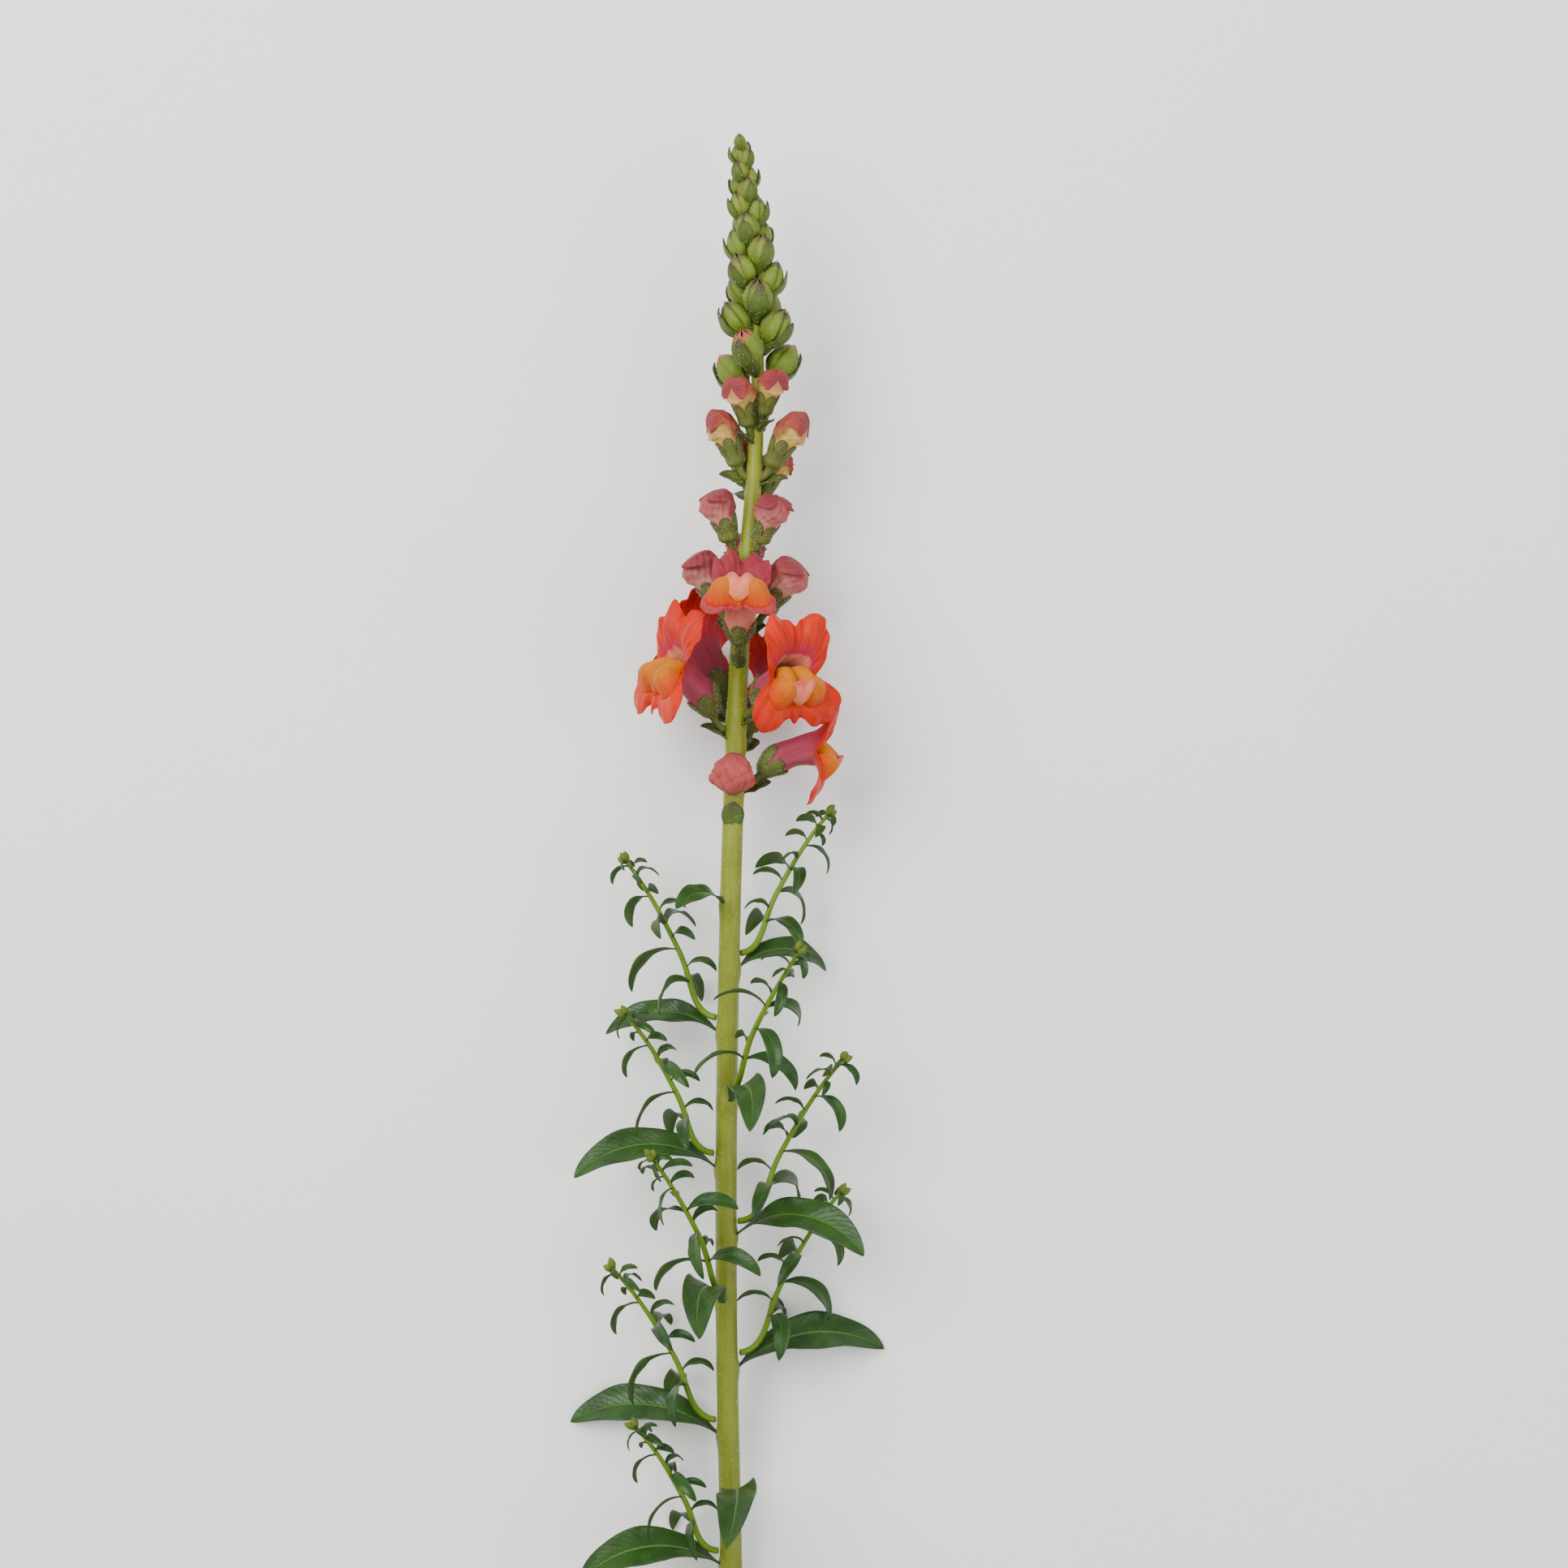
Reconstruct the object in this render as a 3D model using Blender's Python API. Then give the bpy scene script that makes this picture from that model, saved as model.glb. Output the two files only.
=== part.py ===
"""A cut snapdragon stem, lying on a surface with its tip towards +Y.

Metres, +Z up. The lower flowers and the cut end carry it, so the stem climbs slowly from its cut end.
An azimuth goes round the stem in degrees: 0 is +X, 90 is up, 180 is -X and 270 is down to the surface.
A place along the stem is its distance from the cut end.
"""

import math
import random

import bmesh
import bpy
import numpy as np

# The stem, from its cut end to its tip: at each station its sideways place, its height and its radius
STEM_LENGTH = 0.630
STATIONS = (0.0, 0.130, 0.220, 0.310, 0.410, 0.455, 0.515, 0.550, 0.590, 0.630)
SIDEWAYS = (0.0, -0.0015, -0.0030, -0.0026, 0.0, 0.0020, 0.0070, 0.0083, 0.0062, 0.0020)
HEIGHTS = (0.0040, 0.0128, 0.0196, 0.0265, 0.0334, 0.0354, 0.0378, 0.0390, 0.0405, 0.0422)
RADII = (0.0040, 0.0039, 0.0038, 0.00375, 0.0036, 0.0033, 0.0028, 0.0022, 0.0016, 0.0008)
STEM_SIDES = 10
CENTRE = (-0.0030, 0.3159)

# Gaps and walls
CLEARANCE = 0.0004
BLADE = 0.0007
FLOOR_REST = 0.0004

# The head: where it takes over from the plain stem, its green buds in a spiral, and the sizes of the buds
# at its foot, half way and at its tip
HEAD_START = 0.492
FIRST_GREEN_BUD = 0.5415
LAST_GREEN_BUD = 0.626
HEAD_BUDS = 29
HEAD_BRACTS = 15
FIRST_AZIMUTH = 200
GOLDEN_ANGLE = 137.5
BUD_SIZES = (0.0112, 0.0088, 0.0042)
SMALL_BUD = 0.006

# Bracts: how far each stands below its flower or bud, its length, its width, and its rises at root and tip
FLOWER_BRACT = (0.0045, 0.0125, 0.0066, (42, 12))
OPENING_BRACT = (0.0045, 0.0085, 0.0060, (48, 22))
COLOURED_BUD_BRACT = (0.0030, 0.0115, 0.0062, (35, 5))
SPOON_BRACT = (0.3880, 90, 0.0115, 0.0100, (66, 84))
BRACT_FOLD = 0.25
LEAF_FOLD = 0.22

# The shrivelled corolla that still hangs on the front of the stem: place, azimuth, and its rings
WITHERED_PLACE = (0.4015, 92)
WITHERED_RISES = (52, 78, 88, 84)
WITHERED_REACHES = (0.0, 0.0030, 0.0090, 0.0150)
WITHERED_LIFT = 0.0013
WITHERED_HALF_WIDTHS = (0.0022, 0.0058, 0.0066, 0.0034)
WITHERED_HALF_HEIGHTS = (0.0016, 0.0024, 0.0026, 0.0014)
WITHERED_CREASES = (0.86, 1.08, 0.90, 1.10, 0.84, 1.06, 0.92, 1.12)

# One flower: its stalk, its tube and the half widths of the tube at four places along it
STALK_LENGTH = 0.0085
STALK_RADIUS = 0.0011
TUBE_LENGTH = 0.0210
TUBE_SHARES = (0.0, 0.25, 0.65, 1.0)
TUBE_HALF_WIDTHS = (0.0028, 0.0052, 0.0058, 0.0072)
TUBE_HALF_HEIGHTS = (0.0028, 0.0050, 0.0052, 0.0066)

# The lips, by angle round the mouth, from the middle of the lower lip (-90) to the middle of the upper (90):
# how long the lip is, which way it spreads, and how far it leans back at its root and at its edge
LIP_ANGLES = (-90, -73, -60, -42, -26, -12, 6, 32, 58, 76, 90)
LIP_LENGTHS = (0.0125, 0.0100, 0.0155, 0.0190, 0.0145, 0.0036, 0.0095, 0.0175, 0.0200, 0.0165, 0.0125)
LIP_SPREADS = (-90, -80, -68, -50, -30, -5, 40, 62, 74, 83, 90)
LIP_LEANS_AT_ROOT = (62, 62, 62, 60, 55, 45, 28, 18, 15, 15, 15)
LIP_LEANS_AT_EDGE = (132, 128, 134, 136, 120, 80, 88, 104, 108, 96, 88)

# The palate: how far down the lower lip it reaches, row by row, its height and how each row swells
PALATE_SHARES = (0.0, 0.22, 0.44)
PALATE_HEIGHT = 0.0072
PALATE_SWELLS = (0.66, 1.0, 0.78, 0.14)
PALATE_TOP = (0.0056, 0.0022)
PALATE_END = -12
GROOVE_HALF_ANGLE = 8
GROOVE_HEIGHT = 0.62
THROAT = (0.86, 0.0012)

# The calyx: five blunt sepals round the foot of the tube
SEPALS = 5
SEPAL_LENGTH = 0.0085
SEPAL_NOTCH = 0.0020
CUP_NOTCH = 0.42
CALYX_WALL = 0.0008
CALYX_SPREAD = 0.0006
LOBE_NARROWING = 0.08

# Flowers that aren't open: the floor of their cup, the half widths and heights of their folded petals, and
# how much wider those are on the opening flowers and on the coloured buds
CUP_FLOOR = 0.0024
FOLDED_SIDES = 8
FOLDED_SHARES = (0.0, 0.30, 0.58, 0.80, 0.94, 1.0)
FOLDED_HALF_WIDTHS = (0.0024, 0.0036, 0.0043, 0.0047, 0.0038, 0.0016)
FOLDED_HALF_HEIGHTS = (0.0024, 0.0035, 0.0042, 0.0042, 0.0030, 0.0014)
OPENING_PETALS = 1.42
BUD_PETALS = 1.16
BUD_STALK = 0.0075
BUD_LENGTH = 0.0195
BUD_RISES = (15, 60, 64, 50, -10)

# Open flowers: place along the stem, azimuth, rise of the tube at its foot and at its mouth, turn of the
# face, how long its lips are as a share of the lengths above, and size
OPEN_FLOWERS = (
    (0.4050, 352, 42, 8, -14, 1.0, 0.96),
    (0.4240, 162, 56, 32, 14, 1.0, 1.00),
    (0.4190, 308, 60, 46, 4, 1.0, 0.96),
    (0.4290, 230, 60, 40, -4, 1.0, 0.99),
    (0.4290, 40, 46, 13, -18, 1.0, 0.98),
    (0.4490, 92, 66, 56, 0, 0.64, 0.95),
)
# The open flowers whose lowest lips the stem rests on, with its cut end
RESTING_FLOWERS = (3, 4)
# Opening flowers, with their lips still folded: place, azimuth, rise at foot and at mouth, turn, size
OPENING_FLOWERS = (
    (0.4615, 187, 60, 50, 0, 0.94),
    (0.4610, 12, 60, 50, 0, 0.96),
    (0.4700, 266, 64, 56, 0, 0.86),
    (0.4850, 160, 64, 56, 0, 0.84),
    (0.4860, 56, 60, 54, 0, 0.80),
)
# Buds that show colour: place, azimuth, size
COLOURED_BUDS = (
    (0.5015, 304, 0.90),
    (0.5060, 240, 0.90),
    (0.5120, 15, 1.00),
    (0.5120, 170, 0.97),
    (0.5250, 270, 0.86),
    (0.5265, 126, 0.84),
    (0.5310, 62, 0.78),
)

# Leaves of the main stem: place, azimuth, length, width, rises at root and tip, and sway
LEAVES = (
    (0.1040, 12, 0.054, 0.018, 36, -34, 0.005),
    (0.1260, 168, 0.056, 0.018, 38, -40, -0.006),
    (0.1490, 78, 0.056, 0.018, 46, -50, 0.012),
    (0.1730, 190, 0.058, 0.018, 38, -34, 0.004),
    (0.1970, 348, 0.058, 0.018, 40, -36, -0.006),
    (0.2210, 112, 0.055, 0.017, 48, -52, -0.012),
    (0.2450, 22, 0.056, 0.017, 42, -48, 0.006),
    (0.2690, 176, 0.055, 0.016, 40, -46, -0.005),
    (0.2930, 68, 0.050, 0.015, 46, -54, 0.010),
    (0.3170, 200, 0.044, 0.013, 36, -44, -0.005),
    (0.3400, 335, 0.040, 0.012, 40, -50, -0.004),
    (0.3630, 128, 0.026, 0.010, 44, -46, 0.002),
)
LEAF_TWIST = 50
# Side shoots, each just above a leaf: the number of its leaf, its length, its turn and its leaves' swing
SIDE_SHOOTS = (
    (2, 0.058, 4, 0),
    (4, 0.068, 8, 8),
    (5, 0.070, -8, -8),
    (6, 0.064, -14, 6),
    (7, 0.072, 8, 0),
    (8, 0.062, 8, 8),
    (9, 0.064, 14, -6),
    (10, 0.066, 4, 0),
    (11, 0.060, -6, 6),
)
SHOOT_STEP = 0.0050
# Leaves of a side shoot: share of its length, how long they are, and which sides of it they stand on
SHOOT_LEAVES = (
    (0.26, 0.028, (-15, 195)),
    (0.45, 0.028, (-75,)),
    (0.60, 0.024, (10, 170)),
    (0.77, 0.019, (-100,)),
    (0.90, 0.014, (20, 160)),
    (0.97, 0.011, (-70,)),
)
SHOOT_LEAF_WIDTH = 0.29
SHOOT_LEAF_RISES = (38, -76)
SHOOT_LEAF_TWIST = 35
SHOOT_SINK = 0.0003
SHOOT_RADII = (0.0012, 0.0007)
LONGEST_SHOOT = 0.072

GREEN_STEM = (0.36, 0.42, 0.10)
GREEN_BUD = (0.27, 0.34, 0.08)
GREEN_CALYX = (0.20, 0.21, 0.06)
GREEN_LEAF = (0.045, 0.13, 0.02)
PINK = (0.52, 0.13, 0.17)
WITHERED_PINK = (0.36, 0.12, 0.12)
PALATE_YELLOW = (0.88, 0.30, 0.02)


def unit(vector):
    return vector / np.linalg.norm(vector, axis=-1, keepdims=True)


def smooth(x, stations, values):
    """A smooth curve through the values at the stations, read at x."""
    stations, values = np.asarray(stations, float), np.asarray(values, float)
    slopes = np.gradient(values, stations)
    x = np.clip(x, stations[0], stations[-1])
    i = np.clip(np.searchsorted(stations, x) - 1, 0, len(stations) - 2)
    step = stations[i + 1] - stations[i]
    u = (x - stations[i]) / step
    rise = u * u * (3 - 2 * u)
    ends = values[i] * (1 - rise) + values[i + 1] * rise
    return ends + step * u * (1 - u) * ((1 - u) * slopes[i] - u * slopes[i + 1])


def stem_radius(place):
    return float(smooth(place, STATIONS, RADII))


def stem_point(place):
    across, height = smooth(place, STATIONS, SIDEWAYS), smooth(place, STATIONS, HEIGHTS)
    return np.array([across - CENTRE[0], place - CENTRE[1], height])


def stem_frame(place, azimuth):
    """A point of the stem's axis, and the directions sideways, outwards and towards the tip there."""
    step = 0.002
    tip = unit(stem_point(place + step) - stem_point(place - step))
    right = unit(np.cross(tip, (0.0, 0.0, 1.0)))
    up = np.cross(right, tip)
    angle = math.radians(azimuth)
    outwards = math.cos(angle) * right + math.sin(angle) * up
    return stem_point(place), np.cross(tip, outwards), outwards, tip


class GrowthLine:
    """The line that a stalk and its flower, or a shoot, grow along, with a frame at each distance."""

    STEPS = 60

    def __init__(self, place, azimuth, distances, rises, turns, start):
        """rises are angles above the outward direction and turns angles sideways, at those distances."""
        foot, side, outwards, tip = stem_frame(place, azimuth)
        self.distance = np.linspace(0.0, distances[-1], self.STEPS + 1)
        rise = np.radians(smooth(self.distance, distances, rises))[:, None]
        turn = np.radians(smooth(self.distance, distances, turns))[:, None]
        level = np.cos(rise) * outwards + np.sin(rise) * tip
        self.ahead = np.sin(turn) * side + np.cos(turn) * level
        self.up = np.cos(rise) * tip - np.sin(rise) * outwards
        self.side = np.cross(self.up, self.ahead)
        step = self.distance[1]
        middles = (self.ahead[1:] + self.ahead[:-1]) / 2
        self.points = np.vstack([np.zeros(3), np.cumsum(middles, axis=0) * step])
        self.points += foot + start * outwards

    def at(self, distance):
        """(point, side, up, ahead) at a distance along the line."""
        found = [
            np.array([np.interp(distance, self.distance, column) for column in table.T])
            for table in (self.points, self.side, self.up, self.ahead)
        ]
        return found[0], unit(found[1]), unit(found[2]), unit(found[3])

    def ring(self, distance, half_width, half_height, angles):
        """A ring of points round the line, at those angles."""
        point, side, up, _ = self.at(distance)
        across = (half_width * np.cos(angles))[:, None] * side
        return point + across + (half_height * np.sin(angles))[:, None] * up


def closed_loft(rings, turned_from=None):
    """(points, triangles) of a closed body through rings of equal count, capped at both ends.

    From the band turned_from on, the squares are split the other way, so that a wall's two faces split alike.
    """
    count = len(rings[0])
    points = np.vstack([*rings, rings[0].mean(axis=0), rings[-1].mean(axis=0)])
    first_cap, last_cap = len(points) - 2, len(points) - 1
    triangles = []
    for band in range(len(rings) - 1):
        for j in range(count):
            k = (j + 1) % count
            a, b = band * count + j, band * count + k
            c, d = a + count, b + count
            if turned_from is not None and band >= turned_from:
                triangles += [(a, b, c), (b, d, c)]
            else:
                triangles += [(a, b, d), (a, d, c)]
    last = (len(rings) - 1) * count
    for j in range(count):
        k = (j + 1) % count
        triangles += [(first_cap, k, j), (last_cap, last + j, last + k)]
    return points, triangles


def slab(lower, upper):
    """(points, triangles) of a closed body between two grids of points, split alike on both faces."""
    rows, columns = lower.shape[:2]
    points = np.vstack([lower.reshape(-1, 3), upper.reshape(-1, 3)])
    size = rows * columns
    triangles = []
    for i in range(rows - 1):
        for j in range(columns - 1):
            a = i * columns + j
            b, c, d = a + 1, a + columns, a + columns + 1
            triangles += [(a, b, d), (a, d, c)]
            triangles += [(size + a, size + d, size + b), (size + a, size + c, size + d)]
    rim = [j for j in range(columns)]
    rim += [i * columns + columns - 1 for i in range(1, rows)]
    rim += [(rows - 1) * columns + j for j in range(columns - 2, -1, -1)]
    rim += [i * columns for i in range(rows - 2, 0, -1)]
    for a, b in zip(rim, rim[1:] + rim[:1]):
        triangles += [(b, a, size + a), (b, size + a, size + b)]
    return points, triangles


def blade(middle, thickness):
    """A thin closed body about a grid of points."""
    along, across = np.gradient(middle, axis=0), np.gradient(middle, axis=1)
    lift = unit(np.cross(along, across)) * thickness / 2
    return slab(middle - lift, middle + lift)


def lay_on_surface(points):
    """Points that would sink below the surface lie along it, pushed outwards by what they are lifted."""
    lowest = FLOOR_REST + BLADE / 2
    softness = 0.0015
    lifted = lowest + softness * np.logaddexp(0.0, (points[..., 2] - lowest) / softness)
    moved = points.copy()
    moved[..., 0] += np.sign(points[..., 0]) * (lifted - points[..., 2]) * 0.6
    moved[..., 2] = lifted
    return moved


def leaf_middle(root, out, up, length, width, rises, fold, sway, twist, rows, columns):
    """The middle surface of a leaf that rises from its root by the first angle and ends at the second.

    It is folded along its rib, sways sideways and turns its face round its rib by twist, from its root on.
    """
    along = np.linspace(0.0, 1.0, rows)[:, None]
    side = unit(np.cross(out, up))
    start, end = np.radians(rises[0]), np.radians(rises[1])
    angle = start + (end - start) * along
    turned = end - start
    reach = length * (np.sin(angle) - np.sin(start)) / turned
    climb = length * (np.cos(start) - np.cos(angle)) / turned
    rib = root + reach * out + climb * up + sway * along**2 * side
    lift = np.cos(angle) * up - np.sin(angle) * out
    turn = np.radians(twist) * np.minimum(1.0, 2.5 * along)
    across = np.cos(turn) * side - np.sin(turn) * lift
    lift = np.cos(turn) * lift + np.sin(turn) * side
    swell = along**0.85 * (1 - along) ** 0.75 / 0.42
    half = np.maximum(width / 2 * swell, 0.05 * width * (1 - along) + 0.0004)[:, None, :]
    places = np.linspace(-1.0, 1.0, columns)[None, :, None]
    surface = rib[:, None, :] + places * half * across[:, None, :]
    return surface + np.abs(places) * half * fold * lift[:, None, :]


def new_object(name, shape, colour, roughness=0.6):
    """A mesh object with its own material."""
    points, triangles = shape
    mesh = bpy.data.meshes.new(name)
    mesh.from_pydata([tuple(p) for p in points], [], triangles)
    made = bpy.data.objects.new(name, mesh)
    bpy.context.scene.collection.objects.link(made)
    material = bpy.data.materials.new(name)
    material.use_nodes = True
    shader = material.node_tree.nodes["Principled BSDF"]
    shader.inputs["Base Color"].default_value = (*colour, 1.0)
    shader.inputs["Roughness"].default_value = roughness
    shader.inputs["Metallic"].default_value = 0.0
    mesh.materials.append(material)
    return made


def keep_outer_skin(mesh):
    """Fills the hollows that joining has sealed: only the outer skin of the body stays."""
    body = bmesh.new()
    body.from_mesh(mesh)
    unseen, skins = set(body.verts), []
    while unseen:
        skin, waiting = set(), [next(iter(unseen))]
        while waiting:
            vertex = waiting.pop()
            if vertex in skin:
                continue
            skin.add(vertex)
            waiting += [edge.other_vert(vertex) for edge in vertex.link_edges]
        unseen -= skin
        skins.append(skin)
    largest = max(skins, key=len)
    for skin in skins:
        if skin is not largest:
            bmesh.ops.delete(body, geom=list(skin), context="VERTS")
    body.to_mesh(mesh)
    body.free()


def fused(name, core, repeats, colour):
    """The core with its repeats joined to it as one body."""
    made = new_object(name, core, colour)
    together = bpy.data.collections.new(name + "_repeats")
    bpy.context.scene.collection.children.link(together)
    for number, shape in enumerate(repeats):
        piece = new_object(f"{name}_repeat_{number}", shape, colour)
        bpy.context.scene.collection.objects.unlink(piece)
        together.objects.link(piece)
    join = made.modifiers.new("join", "BOOLEAN")
    join.operation = "UNION"
    join.operand_type = "COLLECTION"
    join.collection = together
    join.solver = "MANIFOLD"
    bpy.context.view_layer.update()
    graph = bpy.context.evaluated_depsgraph_get()
    joined = bpy.data.meshes.new_from_object(made.evaluated_get(graph))
    made.modifiers.clear()
    made.data = joined
    keep_outer_skin(joined)
    for piece in list(together.objects):
        bpy.data.objects.remove(piece)
    bpy.data.collections.remove(together)
    return made


def rest_on_surface(made):
    """Cuts the body off level with the surface, which leaves it a small flat spot to rest on."""
    body = bmesh.new()
    body.from_mesh(made.data)
    everything = [*body.verts, *body.edges, *body.faces]
    level = {"plane_co": (0, 0, 0), "plane_no": (0, 0, 1), "clear_inner": True}
    cut = bmesh.ops.bisect_plane(body, geom=everything, **level)
    rim = [part for part in cut["geom_cut"] if isinstance(part, bmesh.types.BMEdge)]
    filled = bmesh.ops.edgeloop_fill(body, edges=rim)
    bmesh.ops.triangulate(body, faces=filled["faces"])
    bmesh.ops.recalc_face_normals(body, faces=body.faces)
    body.to_mesh(made.data)
    body.free()


def stem_ring(place, radius, sides):
    point, side, outwards, _ = stem_frame(place, 90)
    angles = np.linspace(0.0, 2 * math.pi, sides, endpoint=False)[:, None]
    return point + radius * np.cos(angles) * outwards + radius * np.sin(angles) * side


def stem_tube(start, end, rings, sides):
    places = np.linspace(start, end, rings)
    return closed_loft([stem_ring(place, stem_radius(place), sides) for place in places])


def bract_shape(place, azimuth, length, width, rises):
    """A small pointed leaf under a flower or a bud, its root sunk in the stem."""
    foot, _, out, tip = stem_frame(place, azimuth)
    root = foot + out * stem_radius(place) * 0.6
    middle = leaf_middle(root, out, tip, length, width, rises, BRACT_FOLD, 0.0, 0.0, 3, 3)
    return blade(middle, BLADE)


def bud_shape(place, azimuth, size, rise, reach):
    """A closed green bud: a calyx with five ridges that meet at its point."""
    distances = (0.0, reach, reach + 1.25 * size)
    line = GrowthLine(place, azimuth, distances, (rise * 0.5, rise, rise + 8), (0, 0, 0), 0.0)
    sides = 8 if size > SMALL_BUD else 5
    angles = np.linspace(0.0, 2 * math.pi, sides, endpoint=False)
    ridge = 1 + 0.07 * np.cos(sides / 2 * angles)
    rings = [
        line.ring(reach * 0.55, 0.18 * size * ridge, 0.18 * size * ridge, angles),
        line.ring(reach + 0.30 * size, 0.46 * size * ridge, 0.44 * size * ridge, angles),
        line.ring(reach + 0.78 * size, 0.40 * size * ridge, 0.38 * size * ridge, angles),
        line.ring(reach + 1.15 * size, 0.12 * size * ridge, 0.12 * size * ridge, angles),
    ]
    return closed_loft(rings)


def flower_line(place, azimuth, rise_foot, rise_mouth, turn, size):
    """A flower's growth line: square out of the stem, up along its stalk, then out along its tube."""
    stalk, whole = STALK_LENGTH * size, (STALK_LENGTH + TUBE_LENGTH) * size
    start = stem_radius(place) + CLEARANCE
    distances = (0.0, stalk * 0.5, stalk, stalk + 0.45 * (whole - stalk), whole)
    rises = (10, rise_foot, rise_foot + 6, (rise_foot + rise_mouth) / 2, rise_mouth)
    turns = (0, 0, 0.1 * turn, 0.5 * turn, turn)
    return GrowthLine(place, azimuth, distances, rises, turns, start)


def mirrored(table):
    """A lip table read round the whole mouth: the right half, then the left half as its mirror image."""
    return tuple(table[1:-1][::-1])


def mouth_columns():
    """The angles round the whole mouth, in degrees, and each one's mirror angle on the right half."""
    left = [180 - a for a in LIP_ANGLES[1:-1][::-1]]
    around = list(LIP_ANGLES) + left
    halves = list(LIP_ANGLES) + list(mirrored(LIP_ANGLES))
    return np.array(around, float), np.array(halves, float)


class Corolla:
    """The surfaces of one flower's corolla, by angle round its mouth."""

    def __init__(self, line, size, lips, waves):
        self.line, self.size = line, size
        self.around, half = mouth_columns()
        self.angles = np.radians(self.around)
        self.lengths = smooth(half, LIP_ANGLES, LIP_LENGTHS) * size * lips
        self.palate_shares = np.array(PALATE_SHARES) / lips
        spreads = smooth(half, LIP_ANGLES, LIP_SPREADS)
        self.spreads = np.radians(np.where(np.cos(self.angles) < -1e-6, 180 - spreads, spreads))
        self.roots = np.radians(smooth(half, LIP_ANGLES, LIP_LEANS_AT_ROOT))
        edges = smooth(half, LIP_ANGLES, LIP_LEANS_AT_EDGE)
        self.edges = np.radians(edges + waves[0] * np.sin(2 * self.angles + waves[1]))

    def tube_ring(self, share, inwards=0.0):
        """A ring of the tube, at a share of its length."""
        stalk, tube = STALK_LENGTH * self.size, TUBE_LENGTH * self.size
        half_width = float(smooth(share, TUBE_SHARES, TUBE_HALF_WIDTHS)) * self.size - inwards
        half_height = float(smooth(share, TUBE_SHARES, TUBE_HALF_HEIGHTS)) * self.size - inwards
        return self.line.ring(stalk + share * tube, half_width, half_height, self.angles)

    def lip_ring(self, share, offset):
        """A ring of the lips, at a share of their length, offset to the front of their middle surface."""
        _, side, up, ahead = self.line.at((STALK_LENGTH + TUBE_LENGTH) * self.size)
        middle_wall = BLADE / 2
        rim = self.tube_ring(1.0, middle_wall)
        lean = self.roots + (self.edges - self.roots) * share
        turned = self.edges - self.roots
        forwards = self.lengths * (np.sin(lean) - np.sin(self.roots)) / turned
        outwards = self.lengths * (np.cos(self.roots) - np.cos(lean)) / turned
        spread = np.cos(self.spreads)[:, None] * side + np.sin(self.spreads)[:, None] * up
        front = np.sin(lean)[:, None] * ahead - np.cos(lean)[:, None] * spread
        return rim + forwards[:, None] * ahead + outwards[:, None] * spread + offset * front

    def shape(self):
        half = BLADE / 2
        mouth, _, _, ahead = self.line.at((STALK_LENGTH + TUBE_LENGTH) * self.size)
        outer = [self.tube_ring(s) for s in (0.0, 0.3, 0.68)]
        outer += [self.lip_ring(s, -half) for s in (0.0, 0.34, 0.70, 1.0)]
        inner = [self.lip_ring(s, half) for s in (1.0, 0.70, 0.34, 0.0)]
        narrowing, depth = THROAT
        throat = mouth + (inner[-1] - mouth) * narrowing - depth * self.size * ahead
        return closed_loft([*outer, *inner, throat], turned_from=len(outer) - 1)

    def palate(self):
        """The two-humped cushion on the lower lip, which closes the mouth."""
        mouth, side, up, ahead = self.line.at((STALK_LENGTH + TUBE_LENGTH) * self.size)
        low = (self.around <= PALATE_END) | (self.around >= 180 - PALATE_END)
        order = np.argsort(np.where(self.around[low] > 90, self.around[low] - 360, self.around[low]))
        gap = BLADE / 2 + CLEARANCE

        def pick(ring):
            return ring[low][order]

        angles = pick(self.angles)
        half_width, height = PALATE_TOP
        top = mouth + self.size * (half_width * np.cos(angles)[:, None] * side + height * up)
        top += (2 * CLEARANCE - THROAT[1] * self.size) * ahead
        rows = [top] + [pick(self.lip_ring(s, gap)) for s in self.palate_shares]
        rows[1] = rows[1] + CLEARANCE * ahead
        lower = np.stack(rows)
        sweep = np.degrees(angles)
        sweep = np.where(sweep > 90, 360 - sweep, -sweep)
        hump = 0.42 + 0.58 * np.abs(np.cos(np.radians((sweep - 90) * 1.7))) ** 0.8
        hump = np.where(np.abs(sweep - 90) < GROOVE_HALF_ANGLE, GROOVE_HEIGHT, hump)
        raised = PALATE_HEIGHT * self.size * np.array(PALATE_SWELLS)[:, None] * hump[None, :]
        raised = np.maximum(raised, BLADE)
        direction = unit(ahead + 0.12 * up)
        return slab(lower, lower + raised[..., None] * direction)


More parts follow.
